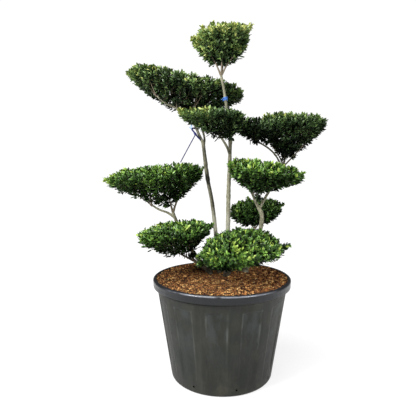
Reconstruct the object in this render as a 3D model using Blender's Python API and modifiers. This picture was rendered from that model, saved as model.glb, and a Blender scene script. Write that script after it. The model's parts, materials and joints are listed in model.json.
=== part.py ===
"""Potted Japanese holly, clipped into flat pads of foliage on bare stems.

Metres, +Z up. The origin is the middle of the pot's flat underside, and the
front of the plant faces -Y. The pot, the soil, each stem, each bough, each pad
of foliage and each tie is one closed solid. Neighbours that touch keep a gap
of 0.3 mm.
"""

import math
import random
from collections import namedtuple

import bmesh
import bpy
from mathutils import Matrix, Vector
from mathutils.bvhtree import BVHTree

# ---------------------------------------------------------------- driving sizes

OBJECT_NAME = "potted_japanese_holly"
SEED = 41
GAP = 0.0003                 # between pieces that touch
SAME = 2e-6                  # points closer than this are one point
UP = Vector((0, 0, 1))

# Pot: a tapered nursery tub with a rolled lip and sunk panels between ribs.
POT_HEIGHT = 0.450
LIP_RADIUS = 0.310
LIP_HEIGHT = 0.036
NECK_RADIUS = 0.292          # wall, just under the lip
BASE_RADIUS = 0.2275         # wall, carried down to the ground
BASE_CORNER = 0.015
WALL = 0.007
FLOOR = 0.006
PANEL_TOP = 0.374
PANEL_BOTTOM = 0.034
PANEL_DEPTH = 0.004
PANEL_COUNT = 12
PANEL_PHASE = 11.0           # degrees from +X to the middle of a rib
RIB_HALF_WIDTH = 5.5         # degrees, on the face
RIB_FOOT = 7.0               # degrees, where its side meets the panel
STEPS_PER_PANEL = 5
POT_SHARP = 25               # degrees between faces, over which an edge is sharp
DRAIN_COUNT = 8
DRAIN_PHASE = -74.5          # degrees from +X to one drain hole
DRAIN_HEIGHT = 0.032
DRAIN_RADIUS = 0.005

# Soil: level in the middle, falling a little to the wall.
SOIL_TOP = 0.452
SOIL_LEVEL_RADIUS = 0.16
SOIL_EDGE = 0.446
SOIL_CLEARANCE = 0.001
SOIL_STEPS = 48

# Limbs: tapering tubes, eight-sided on the soil and six-sided above.
LIMB_STEP = 0.065            # between rings
FLARE = 0.55                 # extra radius at the soil, as a share
FLARE_HEIGHT = 0.028
FOOT = 0.010                 # upright stretch over the flat cut
COLLAR = 0.004               # straight stretch after an end-to-end joint
BARK_GAP = 0.00042           # cutters are this much thicker than their limbs
BARK_SHARP = 50              # degrees between faces, over which an edge is sharp

# Foliage pads: leaves and twigs stand out of a smaller core.
CORE_SIDE = 0.018            # from the pad's outline in to its core
CORE_TOP = 0.015
CORE_DROP = 0.88             # the core's drop, as a share of the pad's
CORE_SEGMENTS = 12
CORE_RINGS = 8
STEM_RADIUS = 0.0042
STEM_STEP = 0.04             # between rings
STEM_SUNK = 0.4              # how far up the core's cone the stem ends, as a share
TWIG_RADIUS = 0.0026
FAN_TWIGS = 4                # twigs that fan out under a core
FAN_OUT = (0.45, 0.75)       # how far out they end, as a share
LEAF_WIDTH = 0.026
LEAF_THICKNESS = 0.0020
LEAF_ROOT = 0.016            # how far a leaf's root is sunk
LEAF_REACH = (0.038, 0.056)  # shortest and longest leaf
LEAF_TURN = 0.16             # how far chance turns a leaf's direction
LEAF_LIFT = 0.006            # most that chance raises a leaf's tip
SIDE_LEAF = (0.028, 0.022, 0.006)  # a sprig's side leaf: onward, sideways and up
CLEAR = 0.0035               # leaves and twigs keep this off other pieces
MOST_ATTEMPTS = 6            # at growing a pad whose solid closes

# Ties: soft nursery twine round the stems.
TIE_RADIUS = 0.0015
TIE_SIDES = 4
TIE_STEPS = 12
LEFT_TIE_HEIGHT = 1.096
RIGHT_TIE_HEIGHT = 1.238
LINE_END = (-.187, .052, .970)

# A limb runs through its points, from one radius to the other. One that grows
# on the soil has a flared foot. One that carries on starts at another's tip. One
# that branches starts inside the limbs that cut it, and is trimmed to their bark.
Limb = namedtuple("Limb", "points radii on_soil carries_on cut_by",
                  defaults=(False, None, ()))

LIMBS = {
    "trunk_left": Limb(
        [(-.010, .050, SOIL_TOP), (-.019, .044, .55), (-.040, .040, .766),
         (-.062, .040, .894), (-.086, .040, 1.052)], (.0100, .0080), True),
    "trunk_right": Limb(
        [(.024, .024, SOIL_TOP), (.028, .012, .70), (.0295, .010, .83), (.035, .010, 1.0),
         (.035, .000, 1.107), (.020, -.027, 1.194), (.007, -.030, 1.274),
         (-.005, -.014, 1.338)], (.0124, .0056), True),
    "trunk_side": Limb(
        [(.110, .072, SOIL_TOP), (.140, .056, .53), (.172, .034, .64),
         (.181, .022, .704), (.178, .020, .736), (.165, .020, .762)], (.0115, .0092), True),
    "stem_mid_left": Limb(
        [(-.060, .085, SOIL_TOP), (-.122, .092, .52), (-.188, .080, .63),
         (-.216, .062, .70), (-.228, .060, .735)], (.0100, .0076), True),
    "stem_low_left": Limb(
        [(-.052, .020, SOIL_TOP), (-.090, -.004, .498), (-.114, -.022, .517),
         (-.128, -.034, .532)], (.0084, .0060), True),
    "stem_low_front": Limb(
        [(.016, -.028, SOIL_TOP), (.026, -.044, .470), (.036, -.060, .489),
         (.042, -.070, .500)], (.0080, .0060), True),
    "stem_low_back": Limb(
        [(.046, .108, SOIL_TOP), (.095, .150, .53), (.145, .190, .60),
         (.164, .200, .640)], (.0072, .0050), True),
    "bough_upper_left": Limb(
        [(-.104, .046, 1.088), (-.134, .056, 1.149), (-.190, .060, 1.200),
         (-.256, .060, 1.233), (-.300, .058, 1.268)], (.0068, .0042),
        False, "trunk_left"),
    "bough_upper_left_inner": Limb(
        [(-.085, .040, 1.030), (-.081, .070, 1.072), (-.095, .090, 1.125),
         (-.116, .094, 1.168)], (.0056, .0042), False, None,
        ("trunk_left", "bough_upper_left")),
    "bough_upper_mid": Limb(
        [(.034, .010, 1.000), (.020, -.022, 1.032), (.000, -.054, 1.062),
         (-.018, -.078, 1.086)], (.0060, .0044), False, None, ("trunk_right",)),
    "bough_mid_right": Limb(
        [(.153, .010, .786), (.140, -.012, .812), (.131, -.034, .832)],
        (.0078, .0052), False, "trunk_side"),
    "bough_upper_right": Limb(
        [(.168, .020, .755), (.187, .032, .788), (.216, .058, .832),
         (.246, .086, .875), (.271, .098, .915), (.286, .092, .952)],
        (.0068, .0052), False, None, ("trunk_side", "bough_mid_right")),
    "bough_upper_arm": Limb(
        [(.281, .094, .938), (.252, .080, .990), (.215, .058, 1.026),
         (.162, .032, 1.056)], (.0048, .0036), False, None, ("bough_upper_right",)),
    "bough_mid_left": Limb(
        [(-.222, .061, .710), (-.252, .057, .732), (-.290, .051, .747),
         (-.324, .050, .767)], (.0060, .0042), False, None, ("stem_mid_left",)),
}

# A pad is a dome over a bulging cone, on an oval outline. Its outline's plane
# rises by `slope` along X, and the cone's point lies `shift` from the middle.
# `bulge`, for the left side and the right, fills the cone out under 1 and hollows
# it over 1. `flat` over 2 levels the dome, and `square` over 2 makes the outline's
# ends blunter. `limb` is the limb whose tip the pad's stem carries on, and `tips`
# are the ends of its longest shoots.
Pad = namedtuple(
    "Pad", "limb centre half rise drop slope shift bulge flat square leaves tips")

PADS = {
    "mass_top": Pad(
        "trunk_right", (-.005, .000, 1.504), (.125, .118), .037, .158, .12, .004,
        (.72, .62), 4.0, 2.3, 34, ((-.140, .0, 1.494), (-.043, -.02, 1.559), (.006, .01, 1.566), (.122, .0, 1.553))),
    "mass_upper_left": Pad(
        "bough_upper_left_inner", (-.168, .098, 1.325), (.263, .135), .045, .155, -.206, .030,
        (.62, .72), 7.0, 3.0, 43, ((-.434, .085, 1.372),)),
    "mass_upper_mid": Pad(
        "bough_upper_mid", (-.043, -.112, 1.160), (.134, .082), .024, .148, .0, .068,
        (1.0, .80), 4.0, 2.0, 22, ((-.178, -.11, 1.180),)),
    "mass_upper_arm": Pad(
        "bough_upper_arm", (.138, -.008, 1.120), (.090, .062), .041, .066, -.06, .0,
        (.55, .55), 3.0, 2.0, 14, ((.152, .008, 1.046), (.198, .022, 1.044))),
    "mass_upper_right": Pad(
        "bough_upper_right", (.320, .085, 1.146), (.152, .132), .041, .196, -.05, -.030,
        (.72, .86), 5.0, 2.4, 36, ((.470, .085, 1.156),)),
    "mass_mid_right": Pad(
        "bough_mid_right", (.188, -.068, .925), (.161, .125), .045, .124, -.165, -.030,
        (.56, 1.0), 4.0, 2.3, 34, ((.346, -.06, .912),)),
    "mass_mid_left": Pad(
        "stem_mid_left", (-.309, .052, .901), (.221, .135), .053, .172, .118, .078,
        (.95, .84), 4.0, 2.3, 41, ((-.550, .05, .889), (-.080, .05, .944))),
    "mass_low_left": Pad(
        "stem_low_left", (-.200, -.065, .658), (.164, .120), .053, .131, .095, .080,
        (.60, 2.0), 3.0, 2.3, 36, ((-.366, -.06, .644),)),
    "mass_low_back": Pad(
        "stem_low_back", (.167, .205, .742), (.134, .108), .048, .099, .05, -.010,
        (.30, .42), 3.0, 2.2, 26, ((.300, .2, .762), (.130, .2, .792))),
    "mass_low_front": Pad(
        "stem_low_front", (.088, -.128, .590), (.174, .136), .102, .083, .07, -.094,
        (.36, .64), 2.0, 2.3, 47, ((.286, -.12, .606), (-.104, -.14, .566), (-.100, -.15, .532))),
}

# Colours: red, green and blue (linear), with roughness.
BLACK_PLASTIC = (0.030, 0.031, 0.031, 0.42)
BARK_MULCH = (0.150, 0.066, 0.025, 0.95)
BARK = (0.300, 0.245, 0.180, 0.85)
TWINE = (0.020, 0.075, 0.300, 0.70)
LEAF_DARK = (0.022, 0.062, 0.014, 0.45)
LEAF_FRESH = (0.060, 0.130, 0.020, 0.45)
FRESH_PADS = ("mass_low_front",)


# ---------------------------------------------------------------- scene helpers

def empty_scene():
    """Remove every object, and everything that only those objects used."""
    for obj in list(bpy.data.objects):
        bpy.data.objects.remove(obj, do_unlink=True)
    for collection in list(bpy.data.collections):
        bpy.data.collections.remove(collection)
    bpy.ops.outliner.orphans_purge(do_recursive=True)


def new_collection(name):
    """Add a collection to the scene."""
    collection = bpy.data.collections.new(name)
    bpy.context.scene.collection.children.link(collection)
    return collection


def add_object(name, data, collection):
    """Add an object that holds a mesh or a curve."""
    obj = bpy.data.objects.new(name, data)
    collection.objects.link(obj)
    return obj


def paint(obj, colour):
    """Give an object its own plain material."""
    material = bpy.data.materials.new(obj.name)
    material.use_nodes = True
    shader = material.node_tree.nodes["Principled BSDF"]
    shader.inputs["Base Color"].default_value = (*colour[:3], 1)
    shader.inputs["Roughness"].default_value = colour[3]
    shader.inputs["Metallic"].default_value = 0
    obj.data.materials.clear()
    obj.data.materials.append(material)


def bake(obj):
    """Turn an object and its modifiers into one plain mesh object, under the same name."""
    bpy.context.view_layer.update()
    evaluated = obj.evaluated_get(bpy.context.evaluated_depsgraph_get())
    mesh = bpy.data.meshes.new_from_object(evaluated)
    name, collection, place = obj.name, obj.users_collection[0], obj.matrix_world.copy()
    bpy.data.objects.remove(obj, do_unlink=True)
    baked = add_object(name, mesh, collection)
    baked.matrix_world = place
    return baked


def weld(mesh):
    """Join the points of a mesh that lie in one place."""
    bm = bmesh.new()
    bm.from_mesh(mesh)
    bmesh.ops.remove_doubles(bm, verts=bm.verts, dist=SAME)
    bm.to_mesh(mesh)
    bm.free()


def islands(bm):
    """Lists of the faces that hang together."""
    left = set(bm.faces)
    while left:
        group, front = [], [left.pop()]
        while front:
            face = front.pop()
            group.append(face)
            touching = {other for edge in face.edges for other in edge.link_faces}
            front.extend(touching & left)
            left -= touching
        yield group


def volume(faces):
    """Signed volume that closed faces wrap."""
    total = 0.0
    for face in faces:
        first, *rest = [vert.co for vert in face.verts]
        for second, third in zip(rest, rest[1:]):
            total += first.dot(second.cross(third)) / 6
    return total


def keep_one_body(mesh):
    """Drop loose scraps and the walls of sealed hollows, and tell whether the rest is closed."""
    bm = bmesh.new()
    bm.from_mesh(mesh)
    groups = sorted(islands(bm), key=volume)
    scraps = [face for group in groups[:-1] for face in group]
    bmesh.ops.delete(bm, geom=scraps, context="FACES")
    bmesh.ops.remove_doubles(bm, verts=bm.verts, dist=SAME)
    bmesh.ops.dissolve_degenerate(bm, edges=bm.edges, dist=SAME)
    bmesh.ops.triangulate(bm, faces=bm.faces)
    closed = all(len(edge.link_faces) == 2 for edge in bm.edges)
    bm.to_mesh(mesh)
    bm.free()
    return closed


def boolean(obj, operation, collection):
    """Cut an object by a collection's objects, or join them to it, for good."""
    modifier = obj.modifiers.new(operation.lower(), "BOOLEAN")
    modifier.operation = operation
    modifier.operand_type = "COLLECTION"
    modifier.collection = collection
    modifier.solver = "EXACT"
    return bake(obj)


def empty_collection(collection):
    """Remove the objects in a collection."""
    for obj in list(collection.objects):
        bpy.data.objects.remove(obj, do_unlink=True)


def turned(name, profile, steps, collection):
    """Turn a profile of (radius, height) points about Z."""
    mesh = bpy.data.meshes.new(name)
    edges = [(i, i + 1) for i in range(len(profile) - 1)]
    mesh.from_pydata([(radius, 0, height) for radius, height in profile], edges, [])
    obj = add_object(name, mesh, collection)
    screw = obj.modifiers.new("turn", "SCREW")
    screw.steps = steps
    screw.render_steps = steps
    screw.use_merge_vertices = True
    screw.merge_threshold = 0.0001
    return obj


# ---------------------------------------------------------------- pot and soil

def wall_radius(height):
    """Outer radius of the pot's plain wall."""
    return BASE_RADIUS + (NECK_RADIUS - BASE_RADIUS) * height / (POT_HEIGHT - LIP_HEIGHT)


def pot_profile():
    """From the middle of the floor, up the inside, over the lip and down the outside."""
    lip_foot = POT_HEIGHT - LIP_HEIGHT
    inside = [(0, FLOOR), (wall_radius(FLOOR) - WALL, FLOOR),
              (wall_radius(POT_HEIGHT) - WALL, POT_HEIGHT - 0.004),
              (wall_radius(POT_HEIGHT) - 0.003, POT_HEIGHT)]
    lip = [(LIP_RADIUS - 0.006, POT_HEIGHT), (LIP_RADIUS - 0.0015, POT_HEIGHT - 0.003),
           (LIP_RADIUS, POT_HEIGHT - 0.009), (LIP_RADIUS - 0.002, lip_foot),
           (wall_radius(lip_foot), lip_foot + 0.001)]
    wall = [(wall_radius(height), height) for height in
            (PANEL_TOP, PANEL_TOP - 0.004, PANEL_BOTTOM + 0.045, PANEL_BOTTOM)]
    corner = []
    for degrees in (0, 45, 90):
        turn = math.radians(degrees)
        corner.append((wall_radius(BASE_CORNER) - BASE_CORNER * (1 - math.cos(turn)),
                       BASE_CORNER * (1 - math.sin(turn))))
    return inside + lip + wall + corner + [(0, 0)]


def rib_angle(step):
    """Angle of a pot's step: two on each rib's face, the rest across the sunk panel."""
    panel = 360 / PANEL_COUNT
    whole, part = divmod(step, STEPS_PER_PANEL)
    if part < 2:
        return whole * panel + (-RIB_HALF_WIDTH, RIB_HALF_WIDTH)[part]
    across = (part - 2) / (STEPS_PER_PANEL - 3)
    return whole * panel + RIB_FOOT + across * (panel - 2 * RIB_FOOT)


def sink_panels(mesh):
    """Space the pot's steps by its ribs, and sink the panels between them."""
    steps = PANEL_COUNT * STEPS_PER_PANEL
    for vert in mesh.vertices:
        radius = math.hypot(vert.co.x, vert.co.y)
        if radius < 1e-4:
            continue
        step = round(math.atan2(vert.co.y, vert.co.x) / math.tau * steps) % steps
        on_wall = abs(radius - wall_radius(vert.co.z)) < 1e-4
        sunk = PANEL_BOTTOM + 0.001 < vert.co.z < PANEL_TOP - 0.001
        if on_wall and sunk and step % STEPS_PER_PANEL >= 2:
            radius -= PANEL_DEPTH
        angle = math.radians(rib_angle(step) + PANEL_PHASE)
        vert.co.x = radius * math.cos(angle)
        vert.co.y = radius * math.sin(angle)


def make_pot(parts, cutters):
    """The tub, with a ring of drain holes just over its floor."""
    pot = bake(turned("pot", pot_profile(), PANEL_COUNT * STEPS_PER_PANEL, parts))
    sink_panels(pot.data)
    drill = bmesh.new()
    for index in range(DRAIN_COUNT):
        turn = math.radians(DRAIN_PHASE) + math.tau * index / DRAIN_COUNT
        outward = Vector((math.cos(turn), math.sin(turn), 0))
        centre = outward * (wall_radius(DRAIN_HEIGHT) - WALL / 2) + UP * DRAIN_HEIGHT
        place = Matrix.Translation(centre) @ outward.to_track_quat("Z", "Y").to_matrix().to_4x4()
        bmesh.ops.create_cone(drill, cap_ends=True, segments=6, radius1=DRAIN_RADIUS,
                              radius2=DRAIN_RADIUS, depth=4 * WALL, matrix=place)
    mesh = bpy.data.meshes.new("pot_drill")
    drill.to_mesh(mesh)
    drill.free()
    cutter = add_object("pot_drill", mesh, cutters)
    cutter.display_type = "WIRE"
    cutter.hide_render = True
    modifier = pot.modifiers.new("drain holes", "BOOLEAN")
    modifier.operation = "DIFFERENCE"
    modifier.object = cutter
    modifier.solver = "EXACT"
    pot.data.shade_smooth()
    pot.data.set_sharp_from_angle(angle=math.radians(POT_SHARP))
    paint(pot, BLACK_PLASTIC)


def make_soil(parts):
    """The filling of the pot, with its edge just clear of the wall."""
    floor = FLOOR + GAP
    inside = WALL + SOIL_CLEARANCE
    profile = [(0, SOIL_TOP), (SOIL_LEVEL_RADIUS, SOIL_TOP),
               (wall_radius(SOIL_EDGE) - inside, SOIL_EDGE),
               (wall_radius(floor) - inside, floor), (0, floor)]
    soil = turned("soil", profile, SOIL_STEPS, parts)
    paint(soil, BARK_MULCH)


# ---------------------------------------------------------------- limbs

def smooth_route(points, spacing):
    """Points at an even spacing on a smooth curve (Catmull-Rom) through the given ones."""
    anchors = [Vector(p) for p in points]
    ends = [2 * anchors[0] - anchors[1], *anchors, 2 * anchors[-1] - anchors[-2]]
    fine = [anchors[0]]
    for a, b, c, d in zip(ends, ends[1:], ends[2:], ends[3:]):
        for i in range(1, 17):
            t = i / 16
            fine.append(0.5 * (2 * b + (c - a) * t + (2 * a - 5 * b + 4 * c - d) * t ** 2
                               + (3 * b - a - 3 * c + d) * t ** 3))
    lengths = [0.0]
    for a, b in zip(fine, fine[1:]):
        lengths.append(lengths[-1] + (b - a).length)
    count = max(2, round(lengths[-1] / spacing))
    route, at = [], 0
    for i in range(count + 1):
        wanted = lengths[-1] * i / count
        while at < len(fine) - 2 and lengths[at + 1] < wanted:
            at += 1
        share = (wanted - lengths[at]) / (lengths[at + 1] - lengths[at])
        route.append(fine[at].lerp(fine[at + 1], min(1, share)))
    return route


def tube(name, route, radii, collection, resolution):
    """A round tube along a route, with a radius at each point."""
    curve = bpy.data.curves.new(name, "CURVE")
    curve.dimensions = "3D"
    curve.bevel_depth = 1
    curve.bevel_resolution = resolution
    curve.use_fill_caps = True
    spline = curve.splines.new("POLY")
    spline.points.add(len(route) - 1)
    for point, place, radius in zip(spline.points, route, radii):
        point.co = (*place, 1)
        point.radius = radius
    obj = bake(add_object(name, curve, collection))
    weld(obj.data)
    return obj


def limb_tip(limb):
    """Where a limb ends, and the way it points there."""
    route, _ = limb_route(limb)
    return route[-1], (route[-1] - route[-2]).normalized()


def onward_route(tip, points, spacing):
    """A route that starts just clear of a tip, straight on, and then takes its own way."""
    place, onward = tip
    start = place + onward * GAP
    return [start, *smooth_route([start + onward * COLLAR, *points], spacing)]


def limb_resolution(limb):
    """Bevel resolution of a limb: eight sides on the soil, six above."""
    return 2 if limb.on_soil else 1


def limb_route(limb):
    """The rings of a limb: places and radii, from its foot to its tip."""
    if not limb.on_soil:
        if limb.carries_on:
            route = onward_route(limb_tip(LIMBS[limb.carries_on]), limb.points, LIMB_STEP / 2)
        else:
            route = smooth_route(limb.points, LIMB_STEP / 2)
        radii = [limb.radii[0] + (limb.radii[1] - limb.radii[0]) * i / (len(route) - 1)
                 for i in range(len(route))]
        return route, radii
    foot = Vector(limb.points[0]) + UP * GAP
    raised = [foot + UP * FOOT, *limb.points[1:]]
    above = smooth_route(raised, LIMB_STEP)
    above[1:1] = [above[0].lerp(above[1], 0.4)]
    route = [foot, *above]
    radii = []
    for i, place in enumerate(route):
        share = i / (len(route) - 1)
        flare = 1 + FLARE * math.exp(-(place.z - foot.z) / FLARE_HEIGHT)
        radii.append((limb.radii[0] + (limb.radii[1] - limb.radii[0]) * share) * flare)
    return route, radii


def make_limb(name, limb, parts, cutters):
    """One tapering limb, trimmed back to the bark of the limbs it leaves."""
    route, radii = limb_route(limb)
    obj = tube(name, route, radii, parts, limb_resolution(limb))
    for parent in limb.cut_by:
        bark, sizes = limb_route(LIMBS[parent])
        bark[-1] += (bark[-1] - bark[-2]).normalized() * BARK_GAP
        bark[0] += (bark[0] - bark[1]).normalized() * BARK_GAP
        tube(parent + "_bark", bark, [size + BARK_GAP for size in sizes], cutters,
             limb_resolution(LIMBS[parent]))
    if limb.cut_by:
        obj = boolean(obj, "DIFFERENCE", cutters)
        empty_collection(cutters)
        keep_one_body(obj.data)
    obj.data.shade_smooth()
    obj.data.set_sharp_from_angle(angle=math.radians(BARK_SHARP))
    paint(obj, BARK)
    return obj


# ---------------------------------------------------------------- foliage

def pad_point(pad, direction, side=0.0, top=0.0, drop_share=1.0):
    """Where a unit direction lands on a pad's surface, or on its smaller core."""
    half_x, half_y = pad.half[0] - side, pad.half[1] - side
    rho = min(1.0, math.hypot(direction.x, direction.y))
    turn = math.atan2(direction.y, direction.x)
    blunt = (abs(math.cos(turn)) ** pad.square + abs(math.sin(turn)) ** pad.square)
    blunt = blunt ** (-1 / pad.square)
    x = half_x * rho * blunt * math.cos(turn)
    y = half_y * rho * blunt * math.sin(turn)
    if direction.z >= 0:
        z = (pad.rise - top) * math.sqrt(1 - rho ** pad.flat)
    else:
        left, right = pad.bulge
        bulge = left + (right - left) * (1 + math.cos(turn)) / 2
        z = -pad.drop * drop_share * (1 - rho) ** bulge
        x += pad.shift * (1 - rho)
    return Vector(pad.centre) + Vector((x, y, z + pad.slope * x))


def core_point(pad, direction):
    """A point on the surface of a pad's core."""
    return pad_point(pad, direction, CORE_SIDE, CORE_TOP, CORE_DROP)


def core_mesh(name, pad):
    """The pad's core: a round ball drawn to the pad's own shape."""
    bm = bmesh.new()
    bmesh.ops.create_uvsphere(bm, u_segments=CORE_SEGMENTS, v_segments=CORE_RINGS, radius=1)
    for vert in bm.verts:
        vert.co = core_point(pad, vert.co.normalized())
    mesh = bpy.data.meshes.new(name)
    bm.to_mesh(mesh)
    bm.free()
    return mesh


def unit_leaf():
    """A flat pointed leaf of eight faces, one unit from its middle to each tip."""
    bm = bmesh.new()
    bmesh.ops.create_uvsphere(bm, u_segments=4, v_segments=2, radius=1)
    mesh = bpy.data.meshes.new("leaf")
    bm.to_mesh(mesh)
    bm.free()
    return mesh


def unit_twig():
    """A three-sided tapering twig, one unit from its middle to each end."""
    bm = bmesh.new()
    bmesh.ops.create_cone(bm, cap_ends=True, segments=3, radius1=1, radius2=0.6, depth=2)
    mesh = bpy.data.meshes.new("twig")
    bm.to_mesh(mesh)
    bm.free()
    return mesh


def laid_between(start, end, width, thickness, roll):
    """Matrix that lays a unit shape from start to end, rolled about its length."""
    along = end - start
    turned_up = along.to_track_quat("Z", "X").to_matrix().to_4x4()
    spun = Matrix.Rotation(roll, 4, "Z")
    size = Matrix.Diagonal((width / 2, thickness / 2, along.length / 2, 1))
    return Matrix.Translation((start + end) / 2) @ turned_up @ spun @ size


def sphere_directions(count):
    """Directions spread evenly over a sphere, on a golden-angle spiral."""
    golden = math.pi * (3 - math.sqrt(5))
    for i in range(count):
        z = 1 - 2 * (i + 0.5) / count
        flat = math.sqrt(1 - z * z)
        yield Vector((flat * math.cos(golden * i), flat * math.sin(golden * i), z))


def nearest(tree, place):
    """Distance from a place to a surface."""
    return tree.find_nearest(place)[3]


class Mass:
    """Gathers the stem, twigs and leaves of one pad that keep to its own space."""

    def __init__(self, name, pad, own_core, other_cores, limbs, workshop, seed):
        self.name = name
        self.pad = pad
        self.own_core = own_core
        self.other_cores = other_cores
        self.limbs = limbs
        self.workshop = workshop
        self.rng = random.Random(seed)
        self.count = 0

    def is_free(self, start, end, half_width):
        """True where a twig or leaf stays in its pad's space and off every limb."""
        for i in range(6):
            place = start.lerp(end, i / 5)
            if place.z < SOIL_TOP + CLEAR + half_width:
                return False
            if any(nearest(limb, place) < half_width * 0.7 + CLEAR for limb in self.limbs):
                return False
            own = nearest(self.own_core, place)
            if i > 1 and any(nearest(core, place) < own + CLEAR + half_width
                             for core in self.other_cores):
                return False
        return True

    def add(self, mesh, start, end, width, thickness):
        """Put a leaf or a twig between two places, where there is room for it."""
        if not self.is_free(start, end, width / 2):
            return False
        obj = add_object(f"{self.name}_{self.count}", mesh, self.workshop)
        obj.matrix_world = laid_between(start, end, width, thickness,
                                        self.rng.uniform(0, math.tau))
        self.count += 1
        return True

    def leaf(self, mesh, root, tip):
        """A leaf towards a tip, kept to the lengths that leaves have."""
        along = tip - root
        length = min(max(along.length, LEAF_REACH[0]), LEAF_REACH[1])
        return self.add(mesh, root, root + along.normalized() * length,
                        LEAF_WIDTH, LEAF_THICKNESS)

    def jittered(self, direction, amount):
        """A direction turned a little by chance."""
        nudge = Vector([self.rng.uniform(-amount, amount) for _ in range(3)])
        return (direction + nudge).normalized()


def grow_stem(mass, limb):
    """Carry a limb's tip on into the core, with twigs that fan out under it."""
    pad = mass.pad
    hub = core_point(pad, Vector((0, 0, -1)))
    hub += UP * STEM_SUNK * pad.drop * CORE_DROP
    stem = onward_route(limb_tip(limb), [hub], STEM_STEP)
    width = min(STEM_RADIUS, limb.radii[-1])
    tube(mass.name + "_stem", stem, [width] * len(stem), mass.workshop, 1)
    return stem


def grow_fan(mass, stem, twig, leaf):
    """Twigs from the stem to the underside of the core, with a leaf on each."""
    for i in range(FAN_TWIGS):
        turn = math.tau * (i + mass.rng.uniform(-0.25, 0.25)) / FAN_TWIGS
        out = mass.rng.uniform(*FAN_OUT)
        direction = Vector((out * math.cos(turn), out * math.sin(turn), -math.sqrt(1 - out ** 2)))
        root = stem[0].lerp(stem[-1], mass.rng.uniform(0.15, 0.5))
        end = core_point(mass.pad, direction)
        end += (end - root).normalized() * LEAF_ROOT
        if not mass.add(twig, root, end, 2 * TWIG_RADIUS, 2 * TWIG_RADIUS):
            continue
        base = root.lerp(end, mass.rng.uniform(0.4, 0.7))
        outward = pad_point(mass.pad, mass.jittered(direction, 0.35)) - base
        mass.leaf(leaf, base - outward.normalized() * TWIG_RADIUS * 0.5, base + outward)


def grow_sprig(mass, tip, twig, leaf):
    """A long shoot out of the core to one of the pad's furthest tips."""
    tip = Vector(tip)
    foot = mass.own_core.find_nearest(tip)[0]
    root = foot + (foot - tip).normalized() * LEAF_ROOT
    end = tip.lerp(root, 0.35)
    if not mass.add(twig, root, end, 2 * TWIG_RADIUS, 2 * TWIG_RADIUS):
        return
    along = (end - root).normalized()
    mass.leaf(leaf, tip - along * LEAF_REACH[0], tip)
    side = along.cross(UP).normalized() * mass.rng.choice((-1, 1))
    base = root.lerp(end, 0.7)
    reach = along * SIDE_LEAF[0] + side * SIDE_LEAF[1] + UP * SIDE_LEAF[2]
    mass.leaf(leaf, base - reach.normalized() * TWIG_RADIUS * 0.5, base + reach)


def grow_leaves(mass, leaf):
    """Leaves evenly over the core, each from its root to the pad's outline."""
    pad = mass.pad
    for direction in sphere_directions(pad.leaves):
        foot = core_point(pad, direction)
        tip = pad_point(pad, mass.jittered(direction, LEAF_TURN))
        tip += UP * mass.rng.uniform(0, LEAF_LIFT)
        root = foot - (tip - foot).normalized() * LEAF_ROOT
        mass.leaf(leaf, root, tip)


def make_mass(name, pad, cores, limbs, parts, workshop):
    """One pad of foliage, fused into one solid round its core.

    Leaves that cross too closely leave the solid open: it is then grown again.
    """
    others = [tree for other, tree in cores.items() if other != name]
    leaf, twig = unit_leaf(), unit_twig()
    for attempt in range(MOST_ATTEMPTS):
        seed = f"{SEED} {name} {attempt}"
        mass = Mass(name, pad, cores[name], others, limbs, workshop, seed)
        stem = grow_stem(mass, LIMBS[pad.limb])
        grow_fan(mass, stem, twig, leaf)
        for tip in pad.tips:
            grow_sprig(mass, tip, twig, leaf)
        grow_leaves(mass, leaf)
        body = boolean(add_object(name, core_mesh(name, pad), parts), "UNION", workshop)
        empty_collection(workshop)
        if keep_one_body(body.data):
            break
        bpy.data.objects.remove(body, do_unlink=True)
    else:
        raise RuntimeError(f"{name} stays open")
    paint(body, LEAF_FRESH if name in FRESH_PADS else LEAF_DARK)


# ---------------------------------------------------------------- ties

def make_band(name, centre, axis, stem_radius, parts):
    """A ring of twine round a stem, just clear of the bark."""
    bm = bmesh.new()
    bmesh.ops.create_circle(bm, segments=TIE_SIDES, radius=TIE_RADIUS,
                            matrix=Matrix.Translation((stem_radius + TIE_RADIUS * 1.5, 0, 0))
                            @ Matrix.Rotation(math.pi / 2, 4, "X"))
    bmesh.ops.spin(bm, geom=bm.edges[:] + bm.verts[:], cent=(0, 0, 0), axis=(0, 0, 1),
                   angle=math.tau, steps=TIE_STEPS, use_merge=True)
    bmesh.ops.recalc_face_normals(bm, faces=bm.faces)
    mesh = bpy.data.meshes.new(name)
    bm.to_mesh(mesh)
    bm.free()
    band = add_object(name, mesh, parts)
    turn = axis.to_track_quat("Z", "Y").to_matrix().to_4x4()
    band.matrix_world = Matrix.Translation(centre) @ turn
    paint(band, TWINE)
    return band


def place_on_limb(limb, height):
    """Middle, direction and radius of a limb where it passes a height."""
    route, radii = limb_route(limb)
    for low, high, near, far in zip(route, route[1:], radii, radii[1:]):
        if low.z <= height <= high.z:
            share = (height - low.z) / (high.z - low.z)
            return low.lerp(high, share), (high - low).normalized(), near + (far - near) * share
    raise ValueError("the limb doesn't pass that height")


def make_ties(parts):
    """Two bands, and the taut line from the left one down to the pad below it."""
    obstacles = []
    left, axis, radius = place_on_limb(LIMBS["bough_upper_left"], LEFT_TIE_HEIGHT)
    obstacles.append(make_band("tie_band_left", left, axis, radius, parts))
    away = (Vector(LINE_END) - left).normalized()
    start = left + away * (radius / away.cross(axis).length + 5 * TIE_RADIUS)
    line = tube("tie_line", [start, Vector(LINE_END)], [TIE_RADIUS] * 2, parts, 1)
    paint(line, TWINE)
    obstacles.append(line)
    right, axis, radius = place_on_limb(LIMBS["trunk_right"], RIGHT_TIE_HEIGHT)
    obstacles.append(make_band("tie_band_right", right, axis, radius, parts))
    return obstacles


# ---------------------------------------------------------------- the plant

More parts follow.
